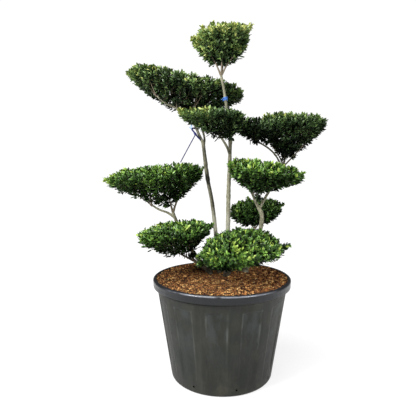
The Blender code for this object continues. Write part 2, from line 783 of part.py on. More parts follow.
def surface_tree(obj):
    """Search tree over an object's faces, in world space."""
    points = [obj.matrix_world @ vert.co for vert in obj.data.vertices]
    return BVHTree.FromPolygons(points, [face.vertices for face in obj.data.polygons])


def main():
    empty_scene()
    parts = new_collection(OBJECT_NAME)
    cutters = new_collection("cutters")
    workshop = new_collection("workshop")
    make_pot(parts, cutters)
    make_soil(parts)
    limbs = [make_limb(name, limb, parts, workshop) for name, limb in LIMBS.items()]
    limbs += make_ties(parts)
    bpy.context.view_layer.update()
    limb_trees = [surface_tree(limb) for limb in limbs]
    cores = {}
    for name, pad in PADS.items():
        core = add_object(name + "_core", core_mesh(name, pad), workshop)
        cores[name] = surface_tree(core)
    empty_collection(workshop)
    for name, pad in PADS.items():
        make_mass(name, pad, cores, limb_trees, parts, workshop)
    bpy.data.collections.remove(workshop)


main()
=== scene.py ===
"""Looks of the potted Japanese holly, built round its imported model.

Metres, +Z up, the plant's front towards -Y. Every limb gets a bark with relief,
every pad of foliage grows twigs and small leaves by the rule of its solid, and
the tub, the bark mulch and the blue ties get their finer shapes and finishes.
"""

import json
import math
import random
from collections import namedtuple

import bpy
import numpy as np
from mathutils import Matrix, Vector, noise
from mathutils.bvhtree import BVHTree

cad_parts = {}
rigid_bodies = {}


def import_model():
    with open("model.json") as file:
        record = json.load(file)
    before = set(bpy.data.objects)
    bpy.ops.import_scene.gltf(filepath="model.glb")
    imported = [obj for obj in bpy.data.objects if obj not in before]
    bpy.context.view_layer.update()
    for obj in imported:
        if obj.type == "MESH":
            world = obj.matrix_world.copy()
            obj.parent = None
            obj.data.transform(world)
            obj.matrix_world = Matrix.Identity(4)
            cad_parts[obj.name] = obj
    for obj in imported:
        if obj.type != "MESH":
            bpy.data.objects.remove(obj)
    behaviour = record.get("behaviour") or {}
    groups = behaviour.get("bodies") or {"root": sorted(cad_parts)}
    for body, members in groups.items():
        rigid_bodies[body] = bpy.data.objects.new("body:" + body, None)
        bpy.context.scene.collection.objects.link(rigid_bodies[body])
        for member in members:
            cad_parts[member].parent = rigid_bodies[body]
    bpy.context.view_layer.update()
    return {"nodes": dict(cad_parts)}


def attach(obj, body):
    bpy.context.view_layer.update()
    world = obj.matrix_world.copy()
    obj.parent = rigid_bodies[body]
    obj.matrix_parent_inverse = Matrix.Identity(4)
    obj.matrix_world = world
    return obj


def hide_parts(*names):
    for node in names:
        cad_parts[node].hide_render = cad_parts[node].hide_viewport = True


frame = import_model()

SEED = 41
UP = Vector((0, 0, 1))

# ---------------------------------------------------------------- sizes of the tub and its soil

POT_HEIGHT = 0.450
LIP_RADIUS = 0.310
LIP_HEIGHT = 0.036
NECK_RADIUS = 0.292          # wall, just under the lip
BASE_RADIUS = 0.2275         # wall, carried down to the ground
BASE_CORNER = 0.015
WALL = 0.007
LIP_WALL = 0.002             # the lip's inner side, in from the line of the wall's face
FLOOR = 0.006
BEAD_DROP = 0.008            # from the lip's foot down to the bead
BEAD_HEIGHT = 0.0035
BEAD_PROUD = 0.0011
PANEL_TOP = 0.374
PANEL_ARCH = 0.007           # how much lower a panel's top corners are than its middle
PANEL_LEDGE = 0.004          # height over which the ledge runs out
PANEL_FADE = (0.032, 0.110)  # heights between which the panels sink in
PANEL_DEPTH = 0.004
PANEL_COUNT = 12
PANEL_PHASE = 11.0           # degrees from +X to the middle of a rib
RIB_HALF_WIDTH = 5.2         # degrees, on the face
RIB_SIDE = 2.0               # degrees, across the rib's sloping side
POT_STEPS = 360
DRAIN_COUNT = 8
DRAIN_PHASE = -74.5          # degrees from +X to one drain hole
DRAIN_HEIGHT = 0.032
DRAIN_RADIUS = 0.005

SOIL_TOP = 0.452
SOIL_LEVEL_RADIUS = 0.16
SOIL_EDGE = 0.446
SOIL_CLEARANCE = 0.001
SOIL_LUMPS = 0.005           # height of the mulch's lumps
LUMP_SIZE = 0.022
LUMP_FADE = 0.020            # from the edge in to where the lumps are at full height
BED_GAP = 0.0003             # between the tub's floor and its filling
CHIP_COUNT = 15000
CHIP_EDGE = 0.004            # from the tub's inner side in to the outermost chips
CHIP_LIFT = (0.0002, 0.0034)  # of a chip's middle over the bed
CHIP_LENGTH = (0.003, 0.012)
CHIP_WIDTH = (0.22, 0.60)    # of its length
CHIP_THICKNESS = (0.0006, 0.0018)
CHIP_TILT = 0.28             # radians, a chip's usual tilt along its length
CHIP_ROLL = 0.35             # and across it
CHIP_NICKS = 0.16            # how far chance moves a chip's corners, as a share of its size
CHIP_LEVELS = (0.20, 0.45, 0.69, 0.86, 0.96)   # where the chips' tints part, dark to pale
CHIP_CLUMP = 0.016           # size of the lighter and darker clumps of chips
CLUMP_CONTRAST = 0.55

# ---------------------------------------------------------------- sizes of the plant

Limb = namedtuple("Limb", "points radii on_soil carries_on", defaults=(False, None))

LIMBS = {
    "trunk_left": Limb(
        [(-.010, .050, SOIL_TOP), (-.019, .044, .55), (-.0425, .040, .766),
         (-.0660, .040, .894), (-.086, .040, 1.052)], (.0102, .0084), True),
    "trunk_right": Limb(
        [(.024, .024, SOIL_TOP), (.028, .012, .70), (.0295, .010, .83), (.035, .010, 1.0),
         (.035, .000, 1.107), (.020, -.027, 1.194), (.007, -.030, 1.274),
         (-.005, -.014, 1.338)], (.0124, .0056), True),
    "trunk_side": Limb(
        [(.110, .072, SOIL_TOP), (.140, .056, .53), (.172, .034, .64),
         (.181, .022, .704), (.178, .020, .736), (.165, .020, .762)], (.0115, .0092), True),
    "stem_mid_left": Limb(
        [(-.060, .085, SOIL_TOP), (-.122, .092, .52), (-.188, .080, .63),
         (-.216, .062, .70), (-.228, .060, .735)], (.0100, .0076), True),
    "stem_low_left": Limb(
        [(-.052, .020, SOIL_TOP), (-.090, -.004, .498), (-.114, -.022, .517),
         (-.128, -.034, .532)], (.0094, .0072), True),
    "stem_low_front": Limb(
        [(.016, -.028, SOIL_TOP), (.026, -.044, .470), (.036, -.060, .489),
         (.042, -.070, .500)], (.0080, .0060), True),
    "stem_low_back": Limb(
        [(.046, .108, SOIL_TOP), (.095, .150, .53), (.145, .190, .60),
         (.164, .200, .640)], (.0072, .0050), True),
    "bough_upper_left": Limb(
        [(-.104, .046, 1.088), (-.134, .056, 1.149), (-.190, .060, 1.200),
         (-.256, .060, 1.233), (-.300, .058, 1.268)], (.0068, .0042),
        False, "trunk_left"),
    "bough_upper_left_inner": Limb(
        [(-.085, .040, 1.030), (-.081, .070, 1.072), (-.095, .090, 1.125),
         (-.116, .094, 1.168)], (.0056, .0042)),
    "bough_upper_mid": Limb(
        [(.034, .010, 1.000), (.020, -.022, 1.032), (.000, -.054, 1.062),
         (-.018, -.078, 1.086)], (.0060, .0044)),
    "bough_mid_right": Limb(
        [(.153, .010, .786), (.140, -.012, .812), (.131, -.034, .832)],
        (.0078, .0052), False, "trunk_side"),
    "bough_upper_right": Limb(
        [(.168, .020, .755), (.187, .032, .788), (.216, .058, .832),
         (.246, .086, .875), (.271, .098, .915), (.286, .092, .952)],
        (.0068, .0052)),
    "bough_upper_arm": Limb(
        [(.281, .094, .938), (.252, .080, .990), (.215, .058, 1.026),
         (.162, .032, 1.056)], (.0048, .0036)),
    "bough_mid_left": Limb(
        [(-.222, .061, .710), (-.252, .057, .732), (-.290, .051, .747),
         (-.324, .050, .767)], (.0060, .0042)),
}

# Each stem and the boughs on it are one piece of bark.
STEMS = {
    "bark_left": ("trunk_left", "bough_upper_left", "bough_upper_left_inner"),
    "bark_right": ("trunk_right", "bough_upper_mid"),
    "bark_side": ("trunk_side", "bough_mid_right", "bough_upper_right", "bough_upper_arm"),
    "bark_mid_left": ("stem_mid_left", "bough_mid_left"),
    "bark_low_left": ("stem_low_left",),
    "bark_low_front": ("stem_low_front",),
    "bark_low_back": ("stem_low_back",),
}

# A pad is a dome over a bulging cone, on an oval outline. `feeds` are the limbs
# that its twigs grow from, with the share of the limb's length where they leave
# it. `bulge` has a figure for the cone's left side and one for its right. `fresh`
# makes a pad's greens lighter, and `bare` is the share of its lower side, out from
# the middle, that keeps no leaves. `spines` are boughs inside the pad, that start
# from a limb's tip.
Pad = namedtuple(
    "Pad", "centre half rise drop slope shift bulge flat square leaves fresh bare tips feeds"
    " spines", defaults=((),))

PADS = {
    "mass_top": Pad(
        (-.005, .000, 1.504), (.125, .118), .037, .158, .12, .004,
        (.68, .50), 4.0, 2.3, 34, 1.5, .34,
        ((-.136, .0, 1.494), (-.088, .01, 1.548), (-.043, -.02, 1.559), (.006, .01, 1.566),
         (.060, -.01, 1.550), (.128, .0, 1.556)),
        (("trunk_right", 1.0),),
        (("trunk_right", (-.030, -.022, 1.388), (-.066, -.024, 1.440)),
         ("trunk_right", (.022, -.020, 1.384), (.056, -.018, 1.428), (.084, -.020, 1.476)),
         ("trunk_right", (-.002, -.030, 1.400), (.000, -.036, 1.470)),
         ("trunk_right", (.004, .020, 1.396), (.010, .050, 1.450)))),
    "mass_upper_left": Pad(
        (-.166, .098, 1.324), (.265, .135), .045, .166, -.196, .030,
        (.66, .92), 7.0, 3.0, 58, .25, .02,
        ((-.434, .085, 1.372),),
        (("bough_upper_left_inner", 1.0), ("bough_upper_left", .85),
         ("bough_upper_left", .65), ("bough_upper_left", .42)),
        (("bough_upper_left", (-.338, .052, 1.318), (-.372, .056, 1.362), (-.404, .066, 1.392)),
         ("bough_upper_left", (-.312, .030, 1.300), (-.330, .018, 1.340)))),
    "mass_upper_mid": Pad(
        (-.043, -.112, 1.160), (.134, .082), .024, .148, .0, .068,
        (1.0, .66), 4.0, 2.0, 22, .2, .32,
        ((-.178, -.11, 1.180),),
        (("bough_upper_mid", 1.0),),
        (("bough_upper_mid", (-.044, -.092, 1.110), (-.080, -.100, 1.138)),
         ("bough_upper_mid", (.006, -.092, 1.104), (.030, -.100, 1.128)))),
    "mass_upper_arm": Pad(
        (.138, -.008, 1.120), (.090, .062), .041, .069, -.09, .0,
        (.55, .55), 3.0, 2.0, 11, -.5, .40,
        ((.152, .008, 1.046), (.198, .022, 1.044)),
        (("bough_upper_arm", 1.0),)),
    "mass_upper_right": Pad(
        (.320, .085, 1.146), (.152, .132), .041, .196, -.05, -.030,
        (.72, .86), 5.0, 2.4, 40, -.05, .12,
        ((.470, .085, 1.156), (.325, .070, .990), (.352, .070, 1.024), (.293, .070, 1.010)),
        (("bough_upper_right", 1.0),),
        (("bough_upper_right", (.286, .070, 1.012), (.276, .060, 1.070)),
         ("bough_upper_right", (.318, .072, .984), (.350, .060, 1.022), (.384, .060, 1.058)),
         ("bough_upper_right", (.300, .110, 1.000), (.330, .140, 1.050)),
         ("bough_upper_right", (.262, .080, .996), (.226, .074, 1.046)))),
    "mass_mid_right": Pad(
        (.188, -.068, .925), (.161, .125), .045, .124, -.183, -.030,
        (.50, 1.05), 4.0, 2.3, 34, .2, .26,
        ((.346, -.06, .912), (.160, -.05, .800)),
        (("bough_mid_right", 1.0),),
        (("bough_mid_right", (.112, -.050, .852), (.086, -.062, .884)),
         ("bough_mid_right", (.140, -.056, .858), (.150, -.070, .900)),
         ("bough_mid_right", (.178, -.048, .850), (.232, -.062, .864), (.276, -.066, .884)),
         ("bough_mid_right", (.142, -.012, .866), (.160, .016, .900)))),
    "mass_mid_left": Pad(
        (-.309, .052, .901), (.221, .135), .055, .172, .108, .078,
        (.88, .92), 4.0, 2.3, 42, .2, .12,
        ((-.545, .05, .889), (-.080, .05, .944), (-.300, .045, .784)),
        (("stem_mid_left", 1.0), ("bough_mid_left", 1.0), ("bough_mid_left", .55)),
        (("stem_mid_left", (-.216, .054, .768), (-.200, .044, .806), (-.190, .040, .850)),
         ("stem_mid_left", (-.238, .046, .778), (-.246, .034, .826)),
         ("bough_mid_left", (-.352, .044, .790), (-.404, .040, .822), (-.450, .040, .850)),
         ("bough_mid_left", (-.330, .034, .800), (-.318, .020, .850)),
         ("bough_mid_left", (-.334, .074, .796), (-.356, .100, .846)))),
    "mass_low_left": Pad(
        (-.208, -.065, .658), (.156, .120), .048, .139, .135, .080,
        (.58, 3.0), 4.0, 2.3, 36, .0, .12,
        ((-.366, -.06, .644), (-.128, -.045, .553), (-.042, -.06, .690)),
        (("stem_low_left", 1.0),),
        (("stem_low_left", (-.168, -.050, .552), (-.222, -.060, .580)),
         ("stem_low_left", (-.130, -.050, .566), (-.134, -.060, .610)))),
    "mass_low_back": Pad(
        (.167, .205, .742), (.134, .108), .048, .099, .05, -.010,
        (.38, .42), 3.0, 2.2, 26, -.1, .22,
        ((.300, .2, .762), (.130, .2, .792)),
        (("stem_low_back", 1.0),),
        (("stem_low_back", (.140, .196, .668), (.112, .190, .700)),
         ("stem_low_back", (.188, .200, .670), (.222, .200, .700)),
         ("stem_low_back", (.166, .216, .676), (.170, .240, .716)))),
    "mass_low_front": Pad(
        (.088, -.128, .590), (.174, .136), .102, .083, .030, -.094,
        (.36, .85), 2.0, 2.3, 50, -.45, .08,
        ((.286, -.12, .614), (-.104, -.14, .566), (-.100, -.15, .532)),
        (("stem_low_front", 1.0),)),
}

FLARE = 0.55                 # extra radius at the soil, as a share
FLARE_HEIGHT = 0.028
FOOT = 0.010                 # upright stretch over the soil
BURIED = 0.012               # how far the bark goes on down into the mulch
BARK_STEP = 0.005            # between rings of the bark
BARK_VOXEL = 0.0014
BARK_LUMPS = (0.016, 0.0016)     # size and height of the bark's swellings
BARK_FISSURES = (0.0042, 0.0009)  # size and height of its finer relief
SCAR_SPACING = 9             # rings of bark to one old leaf scar
SCAR_ENDS = (0.03, 0.97)     # no scars beyond these shares of a limb
SCAR_WIDTH = 1.4             # rings
SCAR_SWELL = 0.09            # extra radius at a scar, as a share
PLAIN_RADIUS = 0.97          # radius between the scars, as a share

CORE_SIDE = 0.018            # from a pad's outline in to its core
CORE_TOP = 0.015
CORE_DROP = 0.88             # the core's drop, as a share of the pad's
CLEAR = 0.0035               # sprays keep this off the space of other pads
LIMB_CLEAR = 0.006           # and this off every limb
SOIL_CLEAR = 0.010           # and this over the soil
SPRAYS_PER_LEAF = 13         # sprays for each of a pad's `leaves`
INNER_SHARE = 0.35           # sprays in the shade under the outer ones
INNER_DEPTH = 0.80           # the inner sprays' surface, as a share of the outer one
BARE_CHANCE = (-0.15, 0.25)  # how chance blurs the edge of a pad's bare part
SPRAY_LIFT = (0.25, 0.90)    # how much sprays turn up, on a pad's lower side and on its dome
SPRAY_WANDER = 0.45          # how far chance turns them
SPRAY_JITTER = 0.10          # how far chance moves their ends over the pad's surface
INNER_JITTER = 0.15
INNER_BARE = 0.15            # how much wider the bare part is among the inner sprays
HUB_RISE = 0.4               # from a core's lowest point up to its hub, of the core's drop
TIP_SPRAYS = 4               # more sprays beside each of a pad's `tips`
TIP_SPRAY_SPAN = (0.45, 0.85)  # where they stand, from the core out to the tip
TIP_SPRAY_REACH = 0.012      # and how far off that line
SPRAY_LENGTH = (0.026, 0.046)
TIP_INSET = (0.003, 0.022)   # from the pad's outline in to the ends of its sprays' twigs
LEAVES_PER_SPRAY = 8
LEAF_LENGTH = (0.015, 0.026)
LEAF_BREADTH = 0.46          # of its length
TWIG_RADIUS = 0.00055        # of one spray's twig
TWIG_GROWTH = 0.42           # power by which a branch thickens with its sprays
FEED_SPLITS = 2              # forks right where twigs leave a limb
FEED_CROWD = 8               # as long as more sprays than this lie ahead
SIDE_FEED = 0.6              # radius of twigs from a limb's side, as a share of the limb's
SPINE_SUNK = 0.004           # how far a spine starts down in its limb
SPINE_SHARE = 0.80           # a spine's radius, as a share of its limb's tip
SPINE_STEP = 0.012           # between a spine's rings
SPINE_END = 0.0013           # radius at a spine's tip
SPINE_FEEDS = (0.35, 0.6, 0.8, 1.0)   # where twigs leave a spine
FORK_SHARE = (0.32, 0.50)    # how far a branch goes towards its sprays before it forks
FORK_WANDER = 0.10           # how far chance moves a fork, as a share of its branch
FORK_BEND = 0.45             # where along a branch it bends
THICK_BRANCH = 0.0017        # radius over which a branch is rounder and darker
BRANCH_TAPER = 0.86
LEAF_LEAN = 62               # degrees off the twig, for a leaf at its foot
LEAF_LEAN_FALL = 34          # degrees less, for a leaf at its tip

SHADE_SHARE = 0.62           # how far down its lower side a pad's painted shade goes on getting darker
LEVEL_MIDDLE = 2.00          # tint of a leaf halfway up a pad
LEVEL_HEIGHT = 1.55          # tints of painted light and shade: a pad's top is lighter and its underside darker
LEVEL_ENDS = (1.9, 0.6)      # tints by which its left and right ends are lighter
LEVEL_FRESH = 1.4            # tints for one unit of a pad's `fresh`
LEVEL_INNER = 2.4            # tints of painted shade by which the inner sprays are darker
LEVEL_TIP = 2.4              # tints of painted shade and light, from a spray's shaded foot to its lit tip
LEVEL_CHANCE = 0.85          # spread of the tints from spray to spray
FRESH_PAD = "mass_low_front"
MIXED_GREENS = (0.62, 1.15)  # spread of the leaves' tints, on other pads and on the fresh one
# Places of paler young leaves, and how far round them they reach.
YOUNG_SPOTS = [(.099, -.235, .587), (.072, -.225, .549), (-.035, -.235, .562),
               (.036, -.255, .626), (.160, -.210, .611), (-.086, -.170, 1.125),
               (-.315, -.050, .860), (.159, -.180, .968)]
YOUNG_REACH = 0.042
YOUNG_LIFT = 2.7             # tints by which the leaves there are lighter

STRAP = [(-.118, .062, 1.118), (-.130, .052, 1.120), (-.136, .036, 1.113),
         (-.128, .030, 1.102), (-.120, .026, 1.092), (-.110, .028, 1.079),
         (-.101, .034, 1.070), (-.096, .048, 1.064), (-.088, .056, 1.062)]
KNOT = [(-.123, .024, 1.094), (-.120, .020, 1.091), (-.118, .022, 1.086)]
LOOP = [(-.145, .030, 1.140), (-.137, .030, 1.134), (-.142, .030, 1.125),
        (-.147, .030, 1.120), (-.138, .030, 1.117), (-.136, .030, 1.129)]
LINE = [(-.122, .026, 1.085), (-.154, .039, 1.030), (-.185, .052, .976), (-.190, .052, .966)]
WRAP_CENTRE = (.0135, -.0285, 1.234)
WRAP_RADIUS = 0.0088
WRAP_TURNS = 4
WRAP_PITCH = 0.0036
WRAP_SLANT = 0.0012
WRAP_TAIL = [(.008, -.038, 1.236), (.001, -.041, 1.233), (-.004, -.040, 1.229)]
CORD_RADII = {"strap": 0.0038, "knot": 0.0056, "loop": 0.0017, "line": 0.0024,
              "wrap": 0.0019, "tail": 0.0014}

# ---------------------------------------------------------------- shader maths

class Wire:
    """A shader value. Arithmetic on it adds Math nodes to its material."""

    def __init__(self, finish, socket):
        self.finish = finish
        self.socket = socket

    def __add__(self, other):
        return self.finish.maths("ADD", self, other)

    def __sub__(self, other):
        return self.finish.maths("SUBTRACT", self, other)

    def __rsub__(self, other):
        return self.finish.maths("SUBTRACT", other, self)

    def __mul__(self, other):
        return self.finish.maths("MULTIPLY", self, other)

    __radd__ = __add__
    __rmul__ = __mul__

    def between(self, low, high):
        """0 below low, 1 above high, and a smooth step from one to the other."""
        settings = {"interpolation_type": "SMOOTHSTEP"}
        return self.finish.node("MapRange", settings,
                                {"Value": self, "From Min": low, "From Max": high})


class Finish:
    """A material that is built from nodes."""

    def __init__(self, name, **numbers):
        self.material = bpy.data.materials.new(name)
        self.material.use_nodes = True
        self.tree = self.material.node_tree
        self.shader = self.tree.nodes["Principled BSDF"]
        for socket, value in numbers.items():
            name = socket.replace("_", " ")
            if name == "Base Color":
                value = (*value, 1)
            self.shader.inputs[name].default_value = value

    def node(self, kind, settings, values, output=0):
        """Add a node of a kind, with its settings first and then its sockets."""
        node = self.tree.nodes.new("ShaderNode" + kind)
        for name, value in settings.items():
            setattr(node, name, value)
        for name, value in values.items():
            if isinstance(value, Wire):
                self.tree.links.new(value.socket, node.inputs[name])
            else:
                node.inputs[name].default_value = value
        return Wire(self, node.outputs[output])

    def maths(self, operation, *values):
        """Add a Math node."""
        return self.node("Math", {"operation": operation}, dict(enumerate(values)))

    def place(self, scale=(1, 1, 1)):
        """The object's own coordinates, stretched."""
        coordinates = self.node("TexCoord", {}, {}, "Object")
        return self.node("Mapping", {}, {"Vector": coordinates, "Scale": scale})

    def coordinate(self, axis):
        """One of the object's own coordinates; Z is the height over the ground."""
        coordinates = self.node("TexCoord", {}, {}, "Object")
        return self.node("SeparateXYZ", {}, {"Vector": coordinates}, axis)

    def noise(self, size, detail=3.0, roughness=0.55, stretch=(1, 1, 1)):
        """Soft noise whose spots are about `size` across."""
        values = {"Vector": self.place(stretch), "Scale": 1 / size, "Detail": detail,
                  "Roughness": roughness}
        return self.node("TexNoise", {}, values)

    def cells(self, size, stretch=(1, 1, 1)):
        """Distance to the nearest of scattered points about `size` apart."""
        return self.node("TexVoronoi", {}, {"Vector": self.place(stretch), "Scale": 1 / size})

    def blend(self, share, first, second):
        """A colour between two others."""
        values = {0: share}
        for index, colour in ((6, first), (7, second)):
            values[index] = colour if isinstance(colour, Wire) else (*colour, 1)
        return self.node("Mix", {"data_type": "RGBA"}, values, 2)

    def wear(self, **wires):
        """Lead wires to the shader's sockets."""
        for name, wire in wires.items():
            self.tree.links.new(wire.socket, self.shader.inputs[name.replace("_", " ")])
        return self.material

    def bump(self, relief, depth, strength=1.0):
        """A normal from a relief of that depth."""
        return self.node("Bump", {}, {"Strength": strength, "Distance": depth,
                                      "Height": relief})


# ---------------------------------------------------------------- finishes

def tub_plastic():
    """Satin black plastic: streaked wall, glossy lip, dust at the ground, with painted highlights on
    the rib edges and the lip's front top edge and a painted sheen on the upper panels.
    """
    finish = Finish("tub_plastic", Specular_IOR_Level=0.22, Coat_Roughness=0.20)
    height = finish.coordinate("Z")
    lip = height.between(0.409, 0.415)
    turn = finish.maths("ARCTAN2", finish.coordinate("Y"), finish.coordinate("X"))
    turn = turn * math.degrees(1)
    from_rib = finish.maths("PINGPONG", turn - PANEL_PHASE, 180 / PANEL_COUNT)
    from_edge = finish.maths("ABSOLUTE", from_rib - (RIB_HALF_WIDTH + RIB_SIDE * 0.5))
    panel = from_rib.between(RIB_HALF_WIDTH, RIB_HALF_WIDTH + RIB_SIDE)
    upper = height.between(0.10, 0.33) * (1 - height.between(0.370, 0.378))
    streaks = finish.noise(0.030, 4, 0.6, (1, 1, 0.10)).between(0.35, 0.70)
    cloud = finish.noise(0.120, 3).between(0.35, 0.70)
    patches = finish.noise(0.040, 3, 0.6, (1, 1, 0.45)).between(0.42, 0.66)
    specks = finish.noise(0.004, 4, 0.7).between(0.62, 0.74)
    low = 1 - height.between(0.0, 0.16)
    dust = finish.noise(0.070, 5, 0.65).between(0.45, 0.75) * (0.25 + low * 0.75)
    wall = finish.blend(streaks * 0.8, (0.019, 0.020, 0.016), (0.034, 0.035, 0.029))
    wall = finish.blend(cloud * 0.5, wall, (0.015, 0.019, 0.017))
    # Painted sheen: a paler bluish tone on the upper panels.
    wall = finish.blend(panel * upper * patches * 0.6, wall, (0.040, 0.047, 0.048))
    # Painted highlight: paler lines along the rib edges, where they catch the light.
    rib_edge_highlight = (1 - from_edge.between(0.2, 1.3)) * upper * (0.15 + patches * 0.85)
    wall = finish.blend(rib_edge_highlight * 0.65, wall, (0.085, 0.090, 0.082))
    wall = finish.blend(dust * 0.55, wall, (0.064, 0.058, 0.040))
    colour = finish.blend(lip, wall, (0.006, 0.007, 0.009))
    # Painted highlight along the lip's rounded top edge, at the front only.
    brim_highlight = height.between(0.4415, 0.4445) * (1 - height.between(0.4470, 0.4490))
    brim_highlight = brim_highlight * (1 - finish.coordinate("Y").between(-0.30, -0.18))
    brim_highlight = brim_highlight * finish.noise(0.040, 3).between(0.30, 0.55)
    colour = finish.blend(brim_highlight * 0.8, colour, (0.170, 0.180, 0.205))
    colour = finish.blend(specks * 0.18, colour, (0.10, 0.10, 0.09))
    scuffs = finish.noise(0.006, 5, 0.7, (1, 1, 0.25)).between(0.30, 0.80)
    roughness = 0.48 + scuffs * 0.14 - lip * 0.12
    grain = finish.noise(0.0016, 2)
    normal = finish.bump(grain + streaks * 1.5, 0.00035)
    return finish.wear(Base_Color=colour, Roughness=roughness, Normal=normal,
                       Coat_Weight=lip * (0.45 - scuffs * 0.25))


def mulch_ground():
    """Dark composted bark between the chips."""
    finish = Finish("mulch_ground")
    crumbs = finish.cells(0.006)
    cloud = finish.noise(0.010, 5, 0.65)
    colour = finish.blend(cloud.between(0.35, 0.7), (0.030, 0.012, 0.005), (0.160, 0.072, 0.026))
    colour = finish.blend(crumbs.between(0.2, 0.6) * 0.6, colour, (0.012, 0.006, 0.003))
    roughness = 0.86 + cloud * 0.12
    normal = finish.bump(crumbs + cloud, 0.003)
    return finish.wear(Base_Color=colour, Roughness=roughness, Normal=normal)


def bark(name, light):
    """Smooth grey-brown bark, with cross marks, a green bloom, dark stains and a dark band round the
    left trunk; painted shade on the left trunk's right side and at every stem's foot by the soil, and
    painted light on the two trunks low down.
    """
    finish = Finish(name, Specular_IOR_Level=0.35)
    cloud = finish.noise(0.035, 4, 0.6).between(0.35, 0.68)
    mottle = finish.noise(0.007, 5, 0.65).between(0.35, 0.70)
    marks = finish.noise(0.0035, 3, 0.5, (0.45, 0.45, 1.6)).between(0.60, 0.72)
    stains = finish.noise(0.045, 5, 0.7, (1, 1, 0.4)).between(0.53, 0.66)
    dark, pale, spots = (tuple(np.multiply(colour, light)) for colour in BARK_TINTS)
    colour = finish.blend(cloud, dark, pale)
    colour = finish.blend(mottle * 0.5, colour, spots)
    colour = finish.blend(finish.noise(0.022, 3).between(0.5, 0.75) * 0.5, colour,
                          (0.078, 0.100, 0.040))
    colour = finish.blend(marks * 0.6, colour, (0.060, 0.048, 0.028))
    colour = finish.blend(stains * 0.8, colour, (0.024, 0.021, 0.013))
    height = finish.coordinate("Z")
    across = finish.coordinate("X")
    from_middle = finish.maths("ABSOLUTE", across)
    # Painted light: the two trunks are paler low down, where the low pads shade them.
    low = 1 - height.between(0.70, 0.77)
    foot = (1 - from_middle.between(0.045, 0.060)) * low * height.between(0.490, 0.535)
    colour = finish.blend(foot * (0.66 - marks * 0.3), colour, LIT_FOOT_BARK)
    # Painted shade: every stem darker at its foot by the soil, under the pads.
    shade_by_soil = 1 - height.between(0.470, 0.530)
    colour = finish.blend(shade_by_soil * 0.7, colour, (0.030, 0.022, 0.012))
    off_axis = across + (height - 0.766) * 0.18 + 0.043
    # Painted shade: the left trunk's right half, turned away from the key light, is darker.
    shaded_right_side = off_axis.between(-0.003, 0.003) * (1 - off_axis.between(0.014, 0.020))
    shaded_right_side = shaded_right_side * height.between(0.70, 0.77) * (1 - height.between(0.92, 1.08))
    colour = finish.blend(shaded_right_side * (0.45 + mottle * 0.45), colour, (0.020, 0.019, 0.012))
    # A dark band round the left trunk.
    ring = off_axis.between(-0.020, -0.014) * (1 - off_axis.between(0.014, 0.020))
    ring = ring * height.between(0.855, 0.875) * (1 - height.between(0.905, 0.925))
    colour = finish.blend(ring * (0.70 + mottle * 0.30), colour, (0.010, 0.010, 0.007))
    roughness = 0.70 + mottle * 0.20
    relief = finish.noise(0.0022, 4, 0.6, (1, 1, 0.4))
    normal = finish.bump(relief + marks * 0.6 + mottle * 0.4, 0.0006)
    return finish.wear(Base_Color=colour, Roughness=roughness, Normal=normal)


def twine(name, dark, light):
    """Blue twine: fine fibres in two tints."""
    finish = Finish(name, Specular_IOR_Level=0.4)
    fibres = finish.noise(0.0012, 3, 0.6)
    colour = finish.blend(fibres.between(0.3, 0.7), dark, light)
    normal = finish.bump(fibres, 0.0003)
    return finish.wear(Base_Color=colour, Roughness=0.45 + fibres * 0.3, Normal=normal)


def plain(name, colour, roughness, gloss=0.5):
    """One even finish, for small things dealt out in several tints."""
    return Finish(name, Base_Color=colour, Roughness=roughness,
                  Specular_IOR_Level=gloss).material


BARK_TINTS = [(0.110, 0.104, 0.064), (0.195, 0.186, 0.126), (0.320, 0.310, 0.235)]
PALE_BARK = 1.45             # how much lighter most stems are than the left trunk
LIT_FOOT_BARK = (0.470, 0.460, 0.370)   # painted light: the two trunks low down, lifted paler against the shade of the low pads over them
LEAF_TINTS = [
    ("leaf_shade", (0.003, 0.007, 0.002), 0.60, 0.10),
    ("leaf_deep", (0.008, 0.021, 0.004), 0.50, 0.18),
    ("leaf_dark", (0.021, 0.052, 0.010), 0.42, 0.26),
    ("leaf_mid", (0.048, 0.110, 0.020), 0.38, 0.34),
    ("leaf_light", (0.100, 0.205, 0.036), 0.36, 0.40),
    ("leaf_fresh", (0.176, 0.320, 0.049), 0.38, 0.40),
    ("leaf_young", (0.320, 0.440, 0.072), 0.42, 0.40),
]
OLIVE = (1.27, 1.02, 1.75)   # the upper pads' leaves against the others
OLIVE_FROM = 1.0             # height from which pads are olive
TWIG_TINTS = [
    ("twig_old", (0.230, 0.190, 0.135), 0.80),
    ("twig_brown", (0.120, 0.092, 0.058), 0.75),
    ("twig_green", (0.090, 0.110, 0.040), 0.65),
]
CHIP_TINTS = [
    ("chip_black", (0.030, 0.012, 0.006), 0.90),
    ("chip_dark", (0.120, 0.046, 0.016), 0.90),
    ("chip_brown", (0.250, 0.105, 0.036), 0.88),
    ("chip_rust", (0.400, 0.172, 0.046), 0.88),
    ("chip_tan", (0.600, 0.305, 0.090), 0.88),
    ("chip_pale", (0.760, 0.490, 0.185), 0.88),
]


# ---------------------------------------------------------------- working with objects

def deselect():
    """Leave nothing selected."""
    for obj in bpy.context.scene.objects:
        obj.select_set(False)


def make_active(obj):
    """Select one object alone."""
    deselect()
    obj.select_set(True)
    bpy.context.view_layer.objects.active = obj


def finished(obj, name, slot, *replaced):
    """Name a piece, tie it to the body and hide the nodes that it stands for; its slot is not used.
    """
    obj.name = name
    obj.data.name = name
    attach(obj, "root")
    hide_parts(*replaced)
    return obj


def placed(name, data):
    """A new object in the scene, from its data."""
    obj = bpy.data.objects.new(name, data)
    bpy.context.scene.collection.objects.link(obj)
    return obj


def joined(parts):
    """Mesh objects run together into the first of them."""
    deselect()
    for part in parts:
        part.select_set(True)
    bpy.context.view_layer.objects.active = parts[0]
    bpy.ops.object.join()
    return bpy.context.object


